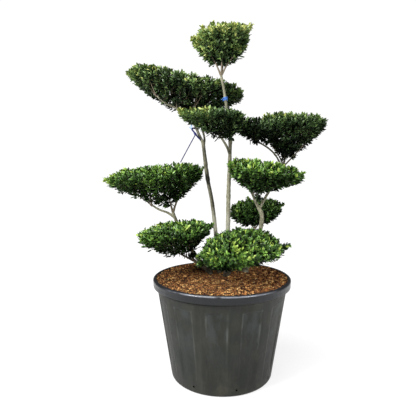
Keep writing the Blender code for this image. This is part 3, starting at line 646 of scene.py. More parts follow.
def coat(obj, finish):
    """Give an object one finish all over."""
    obj.data.materials.clear()
    obj.data.materials.append(finish)


def smooth_up_to(obj, degrees):
    """Shade an object smooth, but for edges sharper than an angle."""
    make_active(obj)
    bpy.ops.object.shade_smooth_by_angle(angle=math.radians(degrees))


def round_tube(name, route, depth, resolution, radii=None):
    """A closed round tube along a route, as a mesh; radii multiply its depth."""
    curve = bpy.data.curves.new(name, "CURVE")
    curve.dimensions = "3D"
    curve.bevel_depth = depth
    curve.bevel_resolution = resolution
    curve.use_fill_caps = True
    spline = curve.splines.new("POLY")
    spline.points.add(len(route) - 1)
    for i, (point, place) in enumerate(zip(spline.points, route)):
        point.co = (*place, 1)
        if radii:
            point.radius = radii[i]
    make_active(placed(name, curve))
    bpy.ops.object.convert(target="MESH")
    return bpy.context.object


def modify(obj, kind, **settings):
    """Add a modifier and apply it."""
    make_active(obj)
    modifier = obj.modifiers.new(kind.lower(), kind)
    for name, value in settings.items():
        setattr(modifier, name, value)
    bpy.ops.object.modifier_apply(modifier=modifier.name)


def lathe(profile, steps):
    """A solid of revolution: a disc whose cap is extruded from ring to ring."""
    (radius, height), *rings = profile
    deselect()
    bpy.ops.mesh.primitive_circle_add(vertices=steps, radius=radius, fill_type="NGON",
                                      location=(0, 0, height))
    obj = bpy.context.object
    bpy.ops.object.transform_apply(location=True, rotation=True, scale=True)
    bpy.ops.object.mode_set(mode="EDIT")
    bpy.ops.mesh.select_mode(type="FACE")
    bpy.ops.mesh.select_all(action="SELECT")
    for next_radius, next_height in rings:
        move = {"value": (0, 0, next_height - height)}
        bpy.ops.mesh.extrude_region_move(TRANSFORM_OT_translate=move)
        share = next_radius / radius
        bpy.ops.transform.resize(value=(share, share, 1), center_override=(0, 0, next_height))
        radius, height = next_radius, next_height
    bpy.ops.mesh.select_all(action="SELECT")
    bpy.ops.mesh.normals_make_consistent(inside=False)
    bpy.ops.object.mode_set(mode="OBJECT")
    return obj


def mesh_from(name, points, faces, tints=None):
    """A mesh object from arrays of points and three-cornered faces."""
    mesh = bpy.data.meshes.new(name)
    mesh.vertices.add(len(points))
    mesh.vertices.foreach_set("co", points.astype(np.float32).ravel())
    mesh.loops.add(faces.size)
    mesh.loops.foreach_set("vertex_index", faces.astype(np.int32).ravel())
    mesh.polygons.add(len(faces))
    mesh.polygons.foreach_set("loop_start", np.arange(0, faces.size, 3, dtype=np.int32))
    if tints is not None:
        mesh.polygons.foreach_set("material_index", tints.astype(np.int32))
    mesh.update(calc_edges=True)
    mesh.validate()
    return placed(name, mesh)


# ---------------------------------------------------------------- the tub

def arc(centre, radius, start, end, count):
    """Points (radius, height) on an arc, with its angles in degrees."""
    for i in range(count):
        turn = math.radians(start + (end - start) * i / (count - 1))
        yield centre[0] + radius * math.cos(turn), centre[1] + radius * math.sin(turn)


def wall_radius(height):
    """Outer radius of the tub's plain wall."""
    return BASE_RADIUS + (NECK_RADIUS - BASE_RADIUS) * height / (POT_HEIGHT - LIP_HEIGHT)


def tub_profile():
    """From the middle of the underside up the outside, over the lip and down the inside."""
    lip_foot = POT_HEIGHT - LIP_HEIGHT
    corner = (wall_radius(BASE_CORNER) - BASE_CORNER, BASE_CORNER)
    under = [(0.150, 0.0022), (0.152, 0.0)]
    base = list(arc(corner, BASE_CORNER, -90, 0, 6))
    heights = [*np.linspace(0.022, PANEL_TOP - 0.020, 44), *np.linspace(
        PANEL_TOP - 0.018, PANEL_TOP + 0.004, 18)]
    wall = [(wall_radius(height), height) for height in heights]
    bead_top = lip_foot - BEAD_DROP
    bead = [(wall_radius(bead_top - BEAD_HEIGHT * drop) + BEAD_PROUD * proud,
             bead_top - BEAD_HEIGHT * drop)
            for drop, proud in ((1.0, 0.0), (0.8, 0.75), (0.5, 1.0), (0.2, 0.75), (0.0, 0.0))]
    foot = [(wall_radius(lip_foot), lip_foot + 0.001), (LIP_RADIUS - 0.0045, lip_foot + 0.0006),
            (LIP_RADIUS - 0.0022, lip_foot + 0.0016), (LIP_RADIUS - 0.0014, lip_foot + 0.005),
            (LIP_RADIUS - 0.0016, lip_foot + 0.014), (LIP_RADIUS - 0.0012, lip_foot + 0.022)]
    roll = list(arc((LIP_RADIUS - 0.0085, POT_HEIGHT - 0.0085), 0.0085, 0, 90, 9))
    inner = wall_radius(POT_HEIGHT) - LIP_WALL
    turn_in = list(arc((inner + 0.004, POT_HEIGHT - 0.004), 0.004, 90, 180, 5))
    inside = [(wall_radius(height) - thick, height) for height, thick in (
        (0.440, LIP_WALL), (0.430, WALL), (0.30, WALL), (FLOOR, WALL))]
    return under + base + wall + bead + foot + roll + turn_in + inside + [(0.05, FLOOR)]


def smooth_step(value, low, high):
    """0 below low, 1 above high, and a smooth step from one to the other."""
    share = np.clip((value - low) / (high - low), 0, 1)
    return share * share * (3 - 2 * share)


def sink_panels(mesh):
    """Press the panels between the ribs into the wall, each under its arched ledge."""
    points = np.empty(len(mesh.vertices) * 3, np.float32)
    mesh.vertices.foreach_get("co", points)
    points = points.reshape(-1, 3).astype(float)
    radius = np.hypot(points[:, 0], points[:, 1])
    height = points[:, 2]
    turn = np.degrees(np.arctan2(points[:, 1], points[:, 0])) - PANEL_PHASE
    pitch = 360 / PANEL_COUNT
    from_rib = np.abs((turn + pitch / 2) % pitch - pitch / 2)
    across = smooth_step(from_rib, RIB_HALF_WIDTH, RIB_HALF_WIDTH + RIB_SIDE)
    middle = 1 - (from_rib - RIB_HALF_WIDTH) / (pitch / 2 - RIB_HALF_WIDTH)
    ledge = PANEL_TOP - PANEL_ARCH * np.clip(middle, 0, 1) ** 2
    under = 1 - smooth_step(height, ledge - PANEL_LEDGE, ledge)
    over = smooth_step(height, *PANEL_FADE)
    outside = np.abs(radius - wall_radius(height)) < 0.0008
    sunk = PANEL_DEPTH * across * under * over * outside
    points[:, :2] *= ((radius - sunk) / np.maximum(radius, 1e-6))[:, None]
    mesh.vertices.foreach_set("co", points.astype(np.float32).ravel())
    mesh.update()


def drain_drill():
    """Eight short rods through the wall, just over the floor."""
    rods = []
    for index in range(DRAIN_COUNT):
        turn = math.radians(DRAIN_PHASE) + math.tau * index / DRAIN_COUNT
        outward = Vector((math.cos(turn), math.sin(turn), 0))
        centre = outward * wall_radius(DRAIN_HEIGHT) + UP * DRAIN_HEIGHT
        bpy.ops.mesh.primitive_cylinder_add(
            vertices=20, radius=DRAIN_RADIUS, depth=4 * WALL, location=centre,
            rotation=outward.to_track_quat("Z", "Y").to_euler())
        rods.append(bpy.context.object)
    return joined(rods)


def make_tub():
    """The nursery tub."""
    tub = lathe(tub_profile(), POT_STEPS)
    sink_panels(tub.data)
    drill = drain_drill()
    modify(tub, "BOOLEAN", operation="DIFFERENCE", object=drill, solver="EXACT")
    bpy.data.objects.remove(drill, do_unlink=True)
    smooth_up_to(tub, 40)
    coat(tub, tub_plastic())
    finished(tub, "tub", "pot_plastic", "pot")


# ---------------------------------------------------------------- the mulch

def soil_height(radius):
    """Height of the plain soil at a distance from the middle."""
    edge = wall_radius(SOIL_EDGE) - LIP_WALL - SOIL_CLEARANCE
    fall = np.clip((radius - SOIL_LEVEL_RADIUS) / (edge - SOIL_LEVEL_RADIUS), 0, 1)
    return SOIL_TOP + (SOIL_EDGE - SOIL_TOP) * fall


def make_mulch_bed():
    """The filling of the tub, with a lumpy top."""
    edge = wall_radius(SOIL_EDGE) - LIP_WALL - SOIL_CLEARANCE
    floor = FLOOR + BED_GAP
    low = [(0.05, floor), *((wall_radius(height) - thick - SOIL_CLEARANCE, height)
                            for height, thick in ((floor, WALL), (0.430, WALL),
                                                  (0.440, LIP_WALL), (SOIL_EDGE, LIP_WALL)))]
    top = [(radius, float(soil_height(radius)))
           for radius in np.linspace(edge, 0.004, 70)[1:]]
    bed = lathe(low + top, 200)
    lumps = bpy.data.textures.new("lumps", "CLOUDS")
    lumps.noise_scale = LUMP_SIZE
    lumps.noise_depth = 3
    group = bed.vertex_groups.new(name="top")
    for vert in bed.data.vertices:
        radius = math.hypot(vert.co.x, vert.co.y)
        if vert.co.z > SOIL_EDGE - 0.001:
            group.add([vert.index], min(1, max(0, (edge - radius) / LUMP_FADE)), "REPLACE")
    modify(bed, "DISPLACE", texture=lumps, texture_coords="LOCAL", direction="Z",
           strength=SOIL_LUMPS * 2, mid_level=0.55, vertex_group="top")
    smooth_up_to(bed, 60)
    coat(bed, mulch_ground())
    return finished(bed, "mulch_bed", "bark_mulch", "soil")


def make_chips(bed):
    """Shreds and chips of bark, strewn flat on the bed."""
    rng = np.random.default_rng(SEED)
    count = CHIP_COUNT
    edge = wall_radius(SOIL_EDGE) - LIP_WALL - CHIP_EDGE
    radius = edge * np.sqrt(rng.uniform(0, 1, count))
    turn = rng.uniform(0, math.tau, count)
    tree = BVHTree.FromPolygons([vert.co for vert in bed.data.vertices],
                                [face.vertices for face in bed.data.polygons])
    ground = np.empty((count, 3))
    for i in range(count):
        above = Vector((radius[i] * math.cos(turn[i]), radius[i] * math.sin(turn[i]), 0.6))
        ground[i] = tree.ray_cast(above, -UP)[0]
    ground[:, 2] += rng.uniform(*CHIP_LIFT, count)
    length = CHIP_LENGTH[0] + (CHIP_LENGTH[1] - CHIP_LENGTH[0]) * rng.beta(1.6, 3.0, count)
    width = length * rng.uniform(*CHIP_WIDTH, count)
    thick = np.minimum(width * 0.5, rng.uniform(*CHIP_THICKNESS, count))
    heading = rng.uniform(0, math.tau, count)
    tilt = rng.normal(0, CHIP_TILT, count)
    roll = rng.normal(0, CHIP_ROLL, count)
    along = np.stack([np.cos(heading) * np.cos(tilt), np.sin(heading) * np.cos(tilt),
                      np.sin(tilt)], 1)
    level = np.cross((0.0, 0.0, 1.0), along)
    level /= np.linalg.norm(level, axis=1)[:, None]
    over = np.cross(along, level)
    side = level * np.cos(roll)[:, None] + over * np.sin(roll)[:, None]
    over = np.cross(along, side)
    corners = np.array([(x, y, z) for x in (-.5, .5) for y in (-.5, .5) for z in (-.5, .5)])
    corners = corners + rng.uniform(-CHIP_NICKS, CHIP_NICKS, (count, 8, 3))
    points = (ground[:, None] + corners[:, :, :1] * (along * length[:, None])[:, None]
              + corners[:, :, 1:2] * (side * width[:, None])[:, None]
              + corners[:, :, 2:] * (over * thick[:, None])[:, None])
    box = np.array([(0, 1, 3), (0, 3, 2), (4, 6, 7), (4, 7, 5), (0, 4, 5), (0, 5, 1),
                    (2, 3, 7), (2, 7, 6), (0, 2, 6), (0, 6, 4), (1, 5, 7), (1, 7, 3)])
    faces = box[None] + 8 * np.arange(count)[:, None, None]
    clumps = np.array([noise.noise(Vector(place) / CHIP_CLUMP) for place in ground])
    paleness = rng.uniform(0, 1, count) + CLUMP_CONTRAST * clumps
    tints = np.repeat(np.searchsorted(CHIP_LEVELS, paleness), len(box))
    chips = mesh_from("mulch_chips", points.reshape(-1, 3), faces.reshape(-1, 3), tints)
    for tint in CHIP_TINTS:
        chips.data.materials.append(plain(*tint, gloss=0.25))
    finished(chips, "mulch_chips", "bark_mulch")


# ---------------------------------------------------------------- limbs

def smooth_route(points, spacing):
    """Points at an even spacing on a smooth curve (Catmull-Rom) through the given ones."""
    anchors = [Vector(p) for p in points]
    ends = [2 * anchors[0] - anchors[1], *anchors, 2 * anchors[-1] - anchors[-2]]
    fine = [anchors[0]]
    for a, b, c, d in zip(ends, ends[1:], ends[2:], ends[3:]):
        for i in range(1, 17):
            t = i / 16
            fine.append(0.5 * (2 * b + (c - a) * t + (2 * a - 5 * b + 4 * c - d) * t ** 2
                               + (3 * b - a - 3 * c + d) * t ** 3))
    lengths = [0.0]
    for a, b in zip(fine, fine[1:]):
        lengths.append(lengths[-1] + (b - a).length)
    count = max(2, round(lengths[-1] / spacing))
    route, at = [], 0
    for i in range(count + 1):
        wanted = lengths[-1] * i / count
        while at < len(fine) - 2 and lengths[at + 1] < wanted:
            at += 1
        share = (wanted - lengths[at]) / (lengths[at + 1] - lengths[at])
        route.append(fine[at].lerp(fine[at + 1], min(1, share)))
    return route


def limb_route(limb, spacing=BARK_STEP):
    """The rings of a limb: places and radii, from its foot to its tip."""
    points = list(limb.points)
    if limb.carries_on:
        points.insert(0, LIMBS[limb.carries_on].points[-1])
    if limb.on_soil:
        points[0] = (*points[0][:2], SOIL_TOP + FOOT)
    route = smooth_route(points, spacing)
    if limb.on_soil:
        foot = route[0].copy()
        down = math.ceil((FOOT + BURIED) / spacing)
        route[:0] = [foot - UP * spacing * i for i in range(down, 0, -1)]
    radii = []
    for i, place in enumerate(route):
        share = i / (len(route) - 1)
        radius = limb.radii[0] + (limb.radii[1] - limb.radii[0]) * share
        if limb.on_soil:
            radius *= 1 + FLARE * math.exp(-max(0, place.z - SOIL_TOP) / FLARE_HEIGHT)
        radii.append(radius)
    return route, radii


def bark_tube(name, limb):
    """One limb as a tube that swells a little at its old leaf scars and cuts."""
    rng = random.Random(f"{SEED} {name}")
    route, radii = limb_route(limb)
    scars = [rng.uniform(*SCAR_ENDS) * len(route) for _ in range(len(route) // SCAR_SPACING)]
    for i in range(len(route)):
        swell = sum(math.exp(-((i - scar) / SCAR_WIDTH) ** 2) for scar in scars)
        radii[i] *= PLAIN_RADIUS + SCAR_SWELL * swell
    return round_tube(name, route, depth=1, resolution=8, radii=radii)


def make_bark(name, members, finish):
    """A stem with its boughs, run together at the forks and given the bark's relief."""
    stem = joined([bark_tube(f"{name}_{member}", LIMBS[member]) for member in members])
    modify(stem, "REMESH", mode="VOXEL", voxel_size=BARK_VOXEL)
    modify(stem, "SMOOTH", factor=0.5, iterations=6)
    for size, depth in (BARK_LUMPS, BARK_FISSURES):
        texture = bpy.data.textures.new("relief", "CLOUDS")
        texture.noise_scale = size
        texture.noise_depth = 2
        modify(stem, "DISPLACE", texture=texture, texture_coords="LOCAL", strength=depth,
               mid_level=0.45)
    stem.data.shade_smooth()
    coat(stem, finish)
    finished(stem, name, "bark", *members)


# ---------------------------------------------------------------- foliage

def pad_point(pad, direction, side=0.0, top=0.0, drop_share=1.0):
    """Where a unit direction lands on a pad's surface, or on its smaller core."""
    half_x, half_y = pad.half[0] - side, pad.half[1] - side
    rho = min(1.0, math.hypot(direction.x, direction.y))
    turn = math.atan2(direction.y, direction.x)
    blunt = (abs(math.cos(turn)) ** pad.square + abs(math.sin(turn)) ** pad.square)
    blunt = blunt ** (-1 / pad.square)
    x = half_x * rho * blunt * math.cos(turn)
    y = half_y * rho * blunt * math.sin(turn)
    if direction.z >= 0:
        z = (pad.rise - top) * math.sqrt(1 - rho ** pad.flat)
    else:
        left, right = pad.bulge
        bulge = left + (right - left) * (1 + math.cos(turn)) / 2
        z = -pad.drop * drop_share * (1 - rho) ** bulge
        x += pad.shift * (1 - rho)
    return Vector(pad.centre) + Vector((x, y, z + pad.slope * x))


def core_point(pad, direction):
    """A point on the surface of a pad's core."""
    return pad_point(pad, direction, CORE_SIDE, CORE_TOP, CORE_DROP)


def core_tree(pad):
    """Search tree over a pad's core."""
    rings, segments = 10, 16
    points, faces = [], []
    for i in range(rings + 1):
        fall = math.pi * i / rings
        for j in range(segments):
            turn = math.tau * j / segments
            direction = Vector((math.sin(fall) * math.cos(turn),
                                math.sin(fall) * math.sin(turn), math.cos(fall)))
            points.append(core_point(pad, direction))
    for i in range(rings):
        for j in range(segments):
            k = (j + 1) % segments
            faces.append((i * segments + j, (i + 1) * segments + j,
                          (i + 1) * segments + k, i * segments + k))
    return BVHTree.FromPolygons(points, faces)


def sphere_directions(count):
    """Directions spread evenly over a sphere, on a golden-angle spiral."""
    golden = math.pi * (3 - math.sqrt(5))
    for i in range(count):
        z = 1 - 2 * (i + 0.5) / count
        flat = math.sqrt(1 - z * z)
        yield Vector((flat * math.cos(golden * i), flat * math.sin(golden * i), z))


def unit(vectors):
    """Vectors at length one."""
    return vectors / np.maximum(np.linalg.norm(vectors, axis=-1, keepdims=True), 1e-9)


def limb_tree(node):
    """Search tree over a CAD node."""
    mesh = frame["nodes"][node].data
    return BVHTree.FromPolygons([vert.co for vert in mesh.vertices],
                                [face.vertices for face in mesh.polygons])


class Mass:
    """The twigs and sprays of one pad, which keep to its own space."""

    def __init__(self, name, own_core, other_cores, limbs):
        self.name = name
        self.pad = PADS[name]
        self.own_core = own_core
        self.other_cores = other_cores
        self.limbs = limbs
        self.rng = random.Random(f"{SEED} {name}")
        self.roots, self.tips, self.shade = [], [], []
        self.spines, self.branches, self.twigs = [], [], []

    def jittered(self, direction, amount):
        """A direction turned a little by chance."""
        nudge = Vector([self.rng.uniform(-amount, amount) for _ in range(3)])
        return (direction + nudge).normalized()

    def is_free(self, root, tip):
        """True where a spray stays in its pad's space and off every limb."""
        for share in (0.0, 0.35, 0.7, 1.0):
            place = root.lerp(tip, share)
            if place.z < SOIL_TOP + SOIL_CLEAR:
                return False
            if any(limb.find_nearest(place)[3] < LIMB_CLEAR for limb in self.limbs):
                return False
            own = self.own_core.find_nearest(place)[3]
            if share > 0.3 and any(core.find_nearest(place)[3] < own + CLEAR
                                   for core in self.other_cores):
                return False
        return True

    def add(self, root, tip, shade):
        """Keep a spray, where there is room for it."""
        if self.is_free(root, tip):
            self.roots.append(root)
            self.tips.append(tip)
            self.shade.append(shade)

    def place_sprays(self):
        """Sprays evenly over the core, each from its root to the pad's outline."""
        pad, rng = self.pad, self.rng
        hub = core_point(pad, Vector((0, 0, -1))) + UP * HUB_RISE * pad.drop * CORE_DROP
        for direction in sphere_directions(pad.leaves * SPRAYS_PER_LEAF):
            rho = math.hypot(direction.x, direction.y)
            if direction.z < 0 and rho < pad.bare + rng.uniform(*BARE_CHANCE):
                continue
            tip = pad_point(pad, self.jittered(direction, SPRAY_JITTER))
            outward = (tip - hub).normalized()
            nudge = Vector([rng.uniform(-SPRAY_WANDER, SPRAY_WANDER) for _ in range(3)])
            heading = (outward + UP * SPRAY_LIFT[direction.z >= 0] + nudge).normalized()
            tip -= outward * rng.uniform(*TIP_INSET)
            self.add(tip - heading * rng.uniform(*SPRAY_LENGTH), tip, 0)
        for direction in sphere_directions(round(pad.leaves * SPRAYS_PER_LEAF * INNER_SHARE)):
            rho = math.hypot(direction.x, direction.y)
            if direction.z < 0 and rho < pad.bare + INNER_BARE:
                continue
            outer = core_point(pad, self.jittered(direction, INNER_JITTER))
            tip = hub.lerp(outer, INNER_DEPTH)
            heading = self.jittered((tip - hub).normalized() + UP * 0.3, 0.4)
            self.add(tip - heading * rng.uniform(*SPRAY_LENGTH), tip, 1)
        for tip in pad.tips:
            tip = Vector(tip)
            foot = self.own_core.find_nearest(tip)[0]
            outward = (tip - foot).normalized()
            self.add(tip - outward * SPRAY_LENGTH[1], tip, 0)
            for _ in range(TIP_SPRAYS):
                heading = self.jittered(outward + UP * 0.3, 0.5)
                end = foot.lerp(tip, rng.uniform(*TIP_SPRAY_SPAN)) + heading * TIP_SPRAY_REACH
                self.add(end - heading * SPRAY_LENGTH[1], end, 0)

    def feeders(self):
        """Where twigs leave the limbs: places, headings and the limb's radius there."""
        for name, share in self.pad.feeds:
            route, radii = limb_route(LIMBS[name])
            at = min(len(route) - 1, round(share * (len(route) - 1)))
            heading = (route[at] - route[at - 1]).normalized()
            if share < 1:
                heading = (heading * 0.5 + UP).normalized()
            yield np.array(route[at]), np.array(heading), radii[at] * (1 if share == 1 else SIDE_FEED)
        for limb, *points in self.pad.spines:
            tip = limb_route(LIMBS[limb])
            thick = tip[1][-1] * SPINE_SHARE
            route = smooth_route([tip[0][-1] - UP * SPINE_SUNK, *points], SPINE_STEP)
            radii = np.linspace(thick, SPINE_END, len(route))
            self.spines.append((np.array(route), radii))
            for share in SPINE_FEEDS:
                at = round(share * (len(route) - 1))
                heading = (route[at] - route[at - 1]).normalized()
                yield np.array(route[at]), np.array(heading), radii[at]

    def grow(self):
        """Twigs from the limbs to every spray."""
        self.place_sprays()
        roots, tips = np.array(self.roots), np.array(self.tips)
        self.chance = np.random.default_rng(self.rng.randrange(10 ** 6))
        feeds = list(self.feeders())
        far = np.stack([np.linalg.norm(roots - place, axis=1) for place, _, _ in feeds])
        nearest = far.argmin(0)
        for index, (place, heading, radius) in enumerate(feeds):
            chosen = np.flatnonzero(nearest == index)
            if len(chosen):
                self.fork(place, heading, roots, tips, chosen, radius, FEED_SPLITS)

    def fork(self, place, heading, roots, tips, chosen, most, splits=0):
        """Grow towards some sprays, and split until each of them has its own twig.

        While `splits` is over 0, the fork is at the place itself.
        """
        if len(chosen) == 1:
            spray = chosen[0]
            self.twigs.append((place, heading, roots[spray], tips[spray]))
            return
        mine = roots[chosen]
        if splits and len(chosen) > FEED_CROWD:
            for half in self.halves(place, mine):
                self.fork(place, heading, roots, tips, chosen[half], most, splits - 1)
            return
        share = self.chance.uniform(*FORK_SHARE) if len(chosen) > 3 else 0.55
        reach = (mine.mean(0) - place) * share
        length = np.linalg.norm(reach)
        end = place + reach + self.chance.normal(0, FORK_WANDER * length + 1e-4, 3)
        bend = place + heading * length * FORK_BEND
        radius = min(most, TWIG_RADIUS * len(chosen) ** TWIG_GROWTH)
        self.branches.append((place, bend, end, radius))
        onward = unit(end - bend)
        for half in self.halves(end, mine):
            self.fork(end, onward, roots, tips, chosen[half], radius)

    def halves(self, place, roots):
        """Part the sprays seen from a place into two groups, across their widest spread."""
        away = unit(roots - place)
        away = away - away.mean(0)
        axis = np.linalg.eigh(away.T @ away)[1][:, -1]
        side = away @ axis
        first = side <= np.quantile(side, self.chance.uniform(0.36, 0.64))
        if first.all() or not first.any():
            first = np.arange(len(side)) % 2 == 0
        return first, ~first


def tubes(paths, radii, sides):
    """Closed tubes along many paths with the same number of points, as points and faces."""
    count, rings, _ = paths.shape
    along = unit(np.gradient(paths, axis=1))
    whole = unit(paths[:, -1] - paths[:, 0])
    least = np.eye(3)[np.abs(whole).argmin(1)]
    across = unit(np.cross(along, least[:, None]))
    over = np.cross(along, across)
    turn = math.tau * np.arange(sides) / sides
    ring = (np.cos(turn)[:, None] * across[:, :, None] + np.sin(turn)[:, None] * over[:, :, None])
    points = paths[:, :, None] + ring * radii[:, :, None, None]
    a = np.arange(sides)
    b = (a + 1) % sides
    faces = []
    for i in range(rings - 1):
        low, high = i * sides, (i + 1) * sides
        faces += [np.stack([low + a, high + a, high + b], 1),
                  np.stack([low + a, high + b, low + b], 1)]
    for i in range(1, sides - 1):
        top = (rings - 1) * sides
        faces += [np.array([(0, i, i + 1)]), np.array([(top, top + i + 1, top + i)])]
    faces = np.concatenate(faces)
    faces = faces[None] + (np.arange(count) * rings * sides)[:, None, None]
    return points.reshape(-1, 3), faces.reshape(-1, 3)


def arcs(starts, bends, ends, rings):
    """Bent paths, each from its start to its end."""
    share = np.linspace(0, 1, rings)[None, :, None]
    return ((1 - share) ** 2 * starts[:, None] + 2 * share * (1 - share) * bends[:, None]
            + share ** 2 * ends[:, None])


def make_twigs(mass):
    """All of a mass's twigs as one piece."""
    starts, bends, ends, radii = (np.array(part) for part in zip(*mass.branches))
    thick = radii > THICK_BRANCH
    groups = [(*tubes(route[None], sizes[None], 8), 0) for route, sizes in mass.spines]
    for chosen, rings, sides in ((thick, 5, 6), (~thick, 3, 3)):
        paths = arcs(starts[chosen], bends[chosen], ends[chosen], rings)
        sizes = radii[chosen][:, None] * np.linspace(1.0, BRANCH_TAPER, rings)
        tint = 0 if sides > 3 else 1
        groups.append((*tubes(paths, sizes, sides), tint))
    starts, headings, roots, tips = (np.array(part) for part in zip(*mass.twigs))
    reach = np.linalg.norm(roots - starts, axis=1)[:, None]
    bends = starts + headings * reach * 0.5
    lead = arcs(starts, bends, roots, 3)
    paths = np.concatenate([lead, (roots + (tips - roots) * 0.85)[:, None]], 1)
    sizes = np.broadcast_to(TWIG_RADIUS * np.array([1.25, 1.1, 1.0, 0.55]), paths.shape[:2])
    groups.append((*tubes(paths, sizes, 3), 2))
    points, faces, tints, base = [], [], [], 0
    for group_points, group_faces, tint in groups:
        points.append(group_points)
        faces.append(group_faces + base)
        tints.append(np.full(len(group_faces), tint))
        base += len(group_points)
    obj = mesh_from(mass.name + "_twigs", np.concatenate(points), np.concatenate(faces),
                    np.concatenate(tints))
    obj.data.shade_smooth()
    return obj


# A leaf lies along +X with its face to +Z: base, two rows of left edge, midrib and
# right edge, and tip. Lengths are shares of the leaf's length, and breadths of its
# breadth. The blade arches down to its tip and its sides dip from the midrib.
LEAF_POINTS = np.array([
    (0.00, 0.0, 0.00), (0.34, -0.46, -0.03), (0.32, 0.0, 0.06), (0.34, 0.46, -0.03),
    (0.70, -0.40, -0.06), (0.68, 0.0, 0.03), (0.70, 0.40, -0.06), (1.00, 0.0, -0.10)])
LEAF_FACES = np.array([
    (0, 1, 2), (0, 2, 3), (1, 4, 5), (1, 5, 2), (2, 5, 6), (2, 6, 3), (4, 7, 5), (5, 7, 6)])


def make_leaves(mass):
    """All of a mass's leaves as one piece, set round each spray's twig in a spiral."""
    rng = mass.chance
    roots, tips = np.array(mass.roots), np.array(mass.tips)
    inner = np.array(mass.shade)
    count, each = len(roots), LEAVES_PER_SPRAY
    axis = unit(tips - roots)
    least = np.eye(3)[np.abs(axis).argmin(1)]
    across = unit(np.cross(axis, least))
    over = np.cross(axis, across)
    order = np.arange(each)[None]
    along = 0.12 + 0.80 * (order + rng.uniform(-0.3, 0.3, (count, each))) / (each - 1)
    turn = (rng.uniform(0, math.tau, (count, 1)) + order * math.radians(137.5)
            + rng.uniform(-0.4, 0.4, (count, each)))
    lean = np.radians(LEAF_LEAN - LEAF_LEAN_FALL * along)
    lean = lean + rng.uniform(-0.22, 0.22, (count, each))
    length = rng.uniform(*LEAF_LENGTH, (count, each)) * (1.04 - 0.30 * np.clip(along - 0.6, 0, 1))
    out = (np.cos(turn)[..., None] * across[:, None] + np.sin(turn)[..., None] * over[:, None])
    heading = unit(np.cos(lean)[..., None] * axis[:, None] + np.sin(lean)[..., None] * out)
    face = unit(axis[:, None] - (axis[:, None] * heading).sum(-1, keepdims=True) * heading
                + rng.normal(0, 0.22, (count, each, 3)))
    face = unit(face - (face * heading).sum(-1, keepdims=True) * heading)
    side = np.cross(face, heading)
    foot = roots[:, None] + (tips - roots)[:, None] * along[..., None] + out * TWIG_RADIUS
    foot -= heading * length[..., None] * np.clip(along - 0.55, 0, 1)[..., None] * 0.9
    breadth = length * LEAF_BREADTH * rng.uniform(0.88, 1.12, (count, each))
    scale = [length[..., None, None], breadth[..., None, None], length[..., None, None]]
    points = foot[..., None, :] + sum(
        LEAF_POINTS[:, i:i + 1] * scale[i] * axes[..., None, :]
        for i, axes in enumerate((heading, side, face)))
    faces = LEAF_FACES + 8 * np.arange(count * each)[:, None, None]
    tints = deal_tints(mass, roots, tips, inner, along)
    obj = mesh_from(mass.name + "_leaves", points.reshape(-1, 3), faces.reshape(-1, 3),
                    np.repeat(tints.ravel(), len(LEAF_FACES)))
    obj.data.shade_smooth()
    return obj


def deal_tints(mass, roots, tips, inner, along):
    """A tint for every leaf, with painted light and shade: lighter on top, towards the pad's ends and
    at a spray's tip, darker underneath and on the inner sprays.
    """
    rng, pad = mass.chance, mass.pad
    height = tips[:, 2] - pad.centre[2] - pad.slope * (tips[:, 0] - pad.centre[0])
    height /= np.where(height > 0, pad.rise, pad.drop * SHADE_SHARE)
    along_pad = (tips[:, 0] - pad.centre[0]) / pad.half[0]
    ends = np.abs(along_pad) ** 3 * np.where(along_pad < 0, *LEVEL_ENDS)
    # Painted light and shade: lighter on a pad's top, darker on its underside.
    lift = LEVEL_MIDDLE + LEVEL_HEIGHT * np.clip(height, -1.0, 1) + ends + pad.fresh * LEVEL_FRESH
    # Painted shade on the inner sprays.
    lift = lift - inner * LEVEL_INNER + rng.normal(0, LEVEL_CHANCE, len(tips))
    for spot in YOUNG_SPOTS:
        far = np.linalg.norm(tips - spot, axis=1) / YOUNG_REACH
        lift += YOUNG_LIFT * np.exp(-far ** 2)
    mixed = MIXED_GREENS[mass.name == FRESH_PAD]
    # Painted shade at a spray's foot and painted light at its tip.
    level = lift[:, None] + LEVEL_TIP * (along - 0.5) + rng.normal(0, mixed, along.shape)
    return np.clip(np.rint(level), 0, len(LEAF_TINTS) - 1).astype(int)


def make_foliage():
    """Grow every pad and make its pieces."""
    green = [plain(*tint) for tint in LEAF_TINTS]
    olive = [plain("olive_" + name, tuple(np.multiply(colour, OLIVE)), *rest)
             for name, colour, *rest in LEAF_TINTS]
    twig_finishes = [plain(*tint, gloss=0.3) for tint in TWIG_TINTS]
    cores = {name: core_tree(pad) for name, pad in PADS.items()}
    limbs = [limb_tree(node) for node in LIMBS]
    for name in PADS:
        others = [tree for other, tree in cores.items() if other != name]
        mass = Mass(name, cores[name], others, limbs)
        mass.grow()
        slot = "foliage_fresh" if name == FRESH_PAD else "foliage_dark"
        twigs, leaves = make_twigs(mass), make_leaves(mass)
        for finish in twig_finishes:
            twigs.data.materials.append(finish)
        for finish in olive if PADS[name].centre[2] > OLIVE_FROM else green:
            leaves.data.materials.append(finish)
        finished(twigs, name + "_twigs", "bark", name)
        finished(leaves, name + "_leaves", slot, name)


# ---------------------------------------------------------------- ties

def smooth_tube(name, anchors, radius, spacing=0.002):
    """A round tube through the given points."""
    obj = round_tube(name, smooth_route(anchors, spacing), depth=radius, resolution=3)
    obj.data.shade_smooth()
    return obj


def make_tie(name, node, finish, *tubes_of_tie):
    """One tie, joined from its tubes."""
    tie = joined([smooth_tube(name, *tube) for tube in tubes_of_tie])
    coat(tie, finish)
    finished(tie, name, "twine", node)


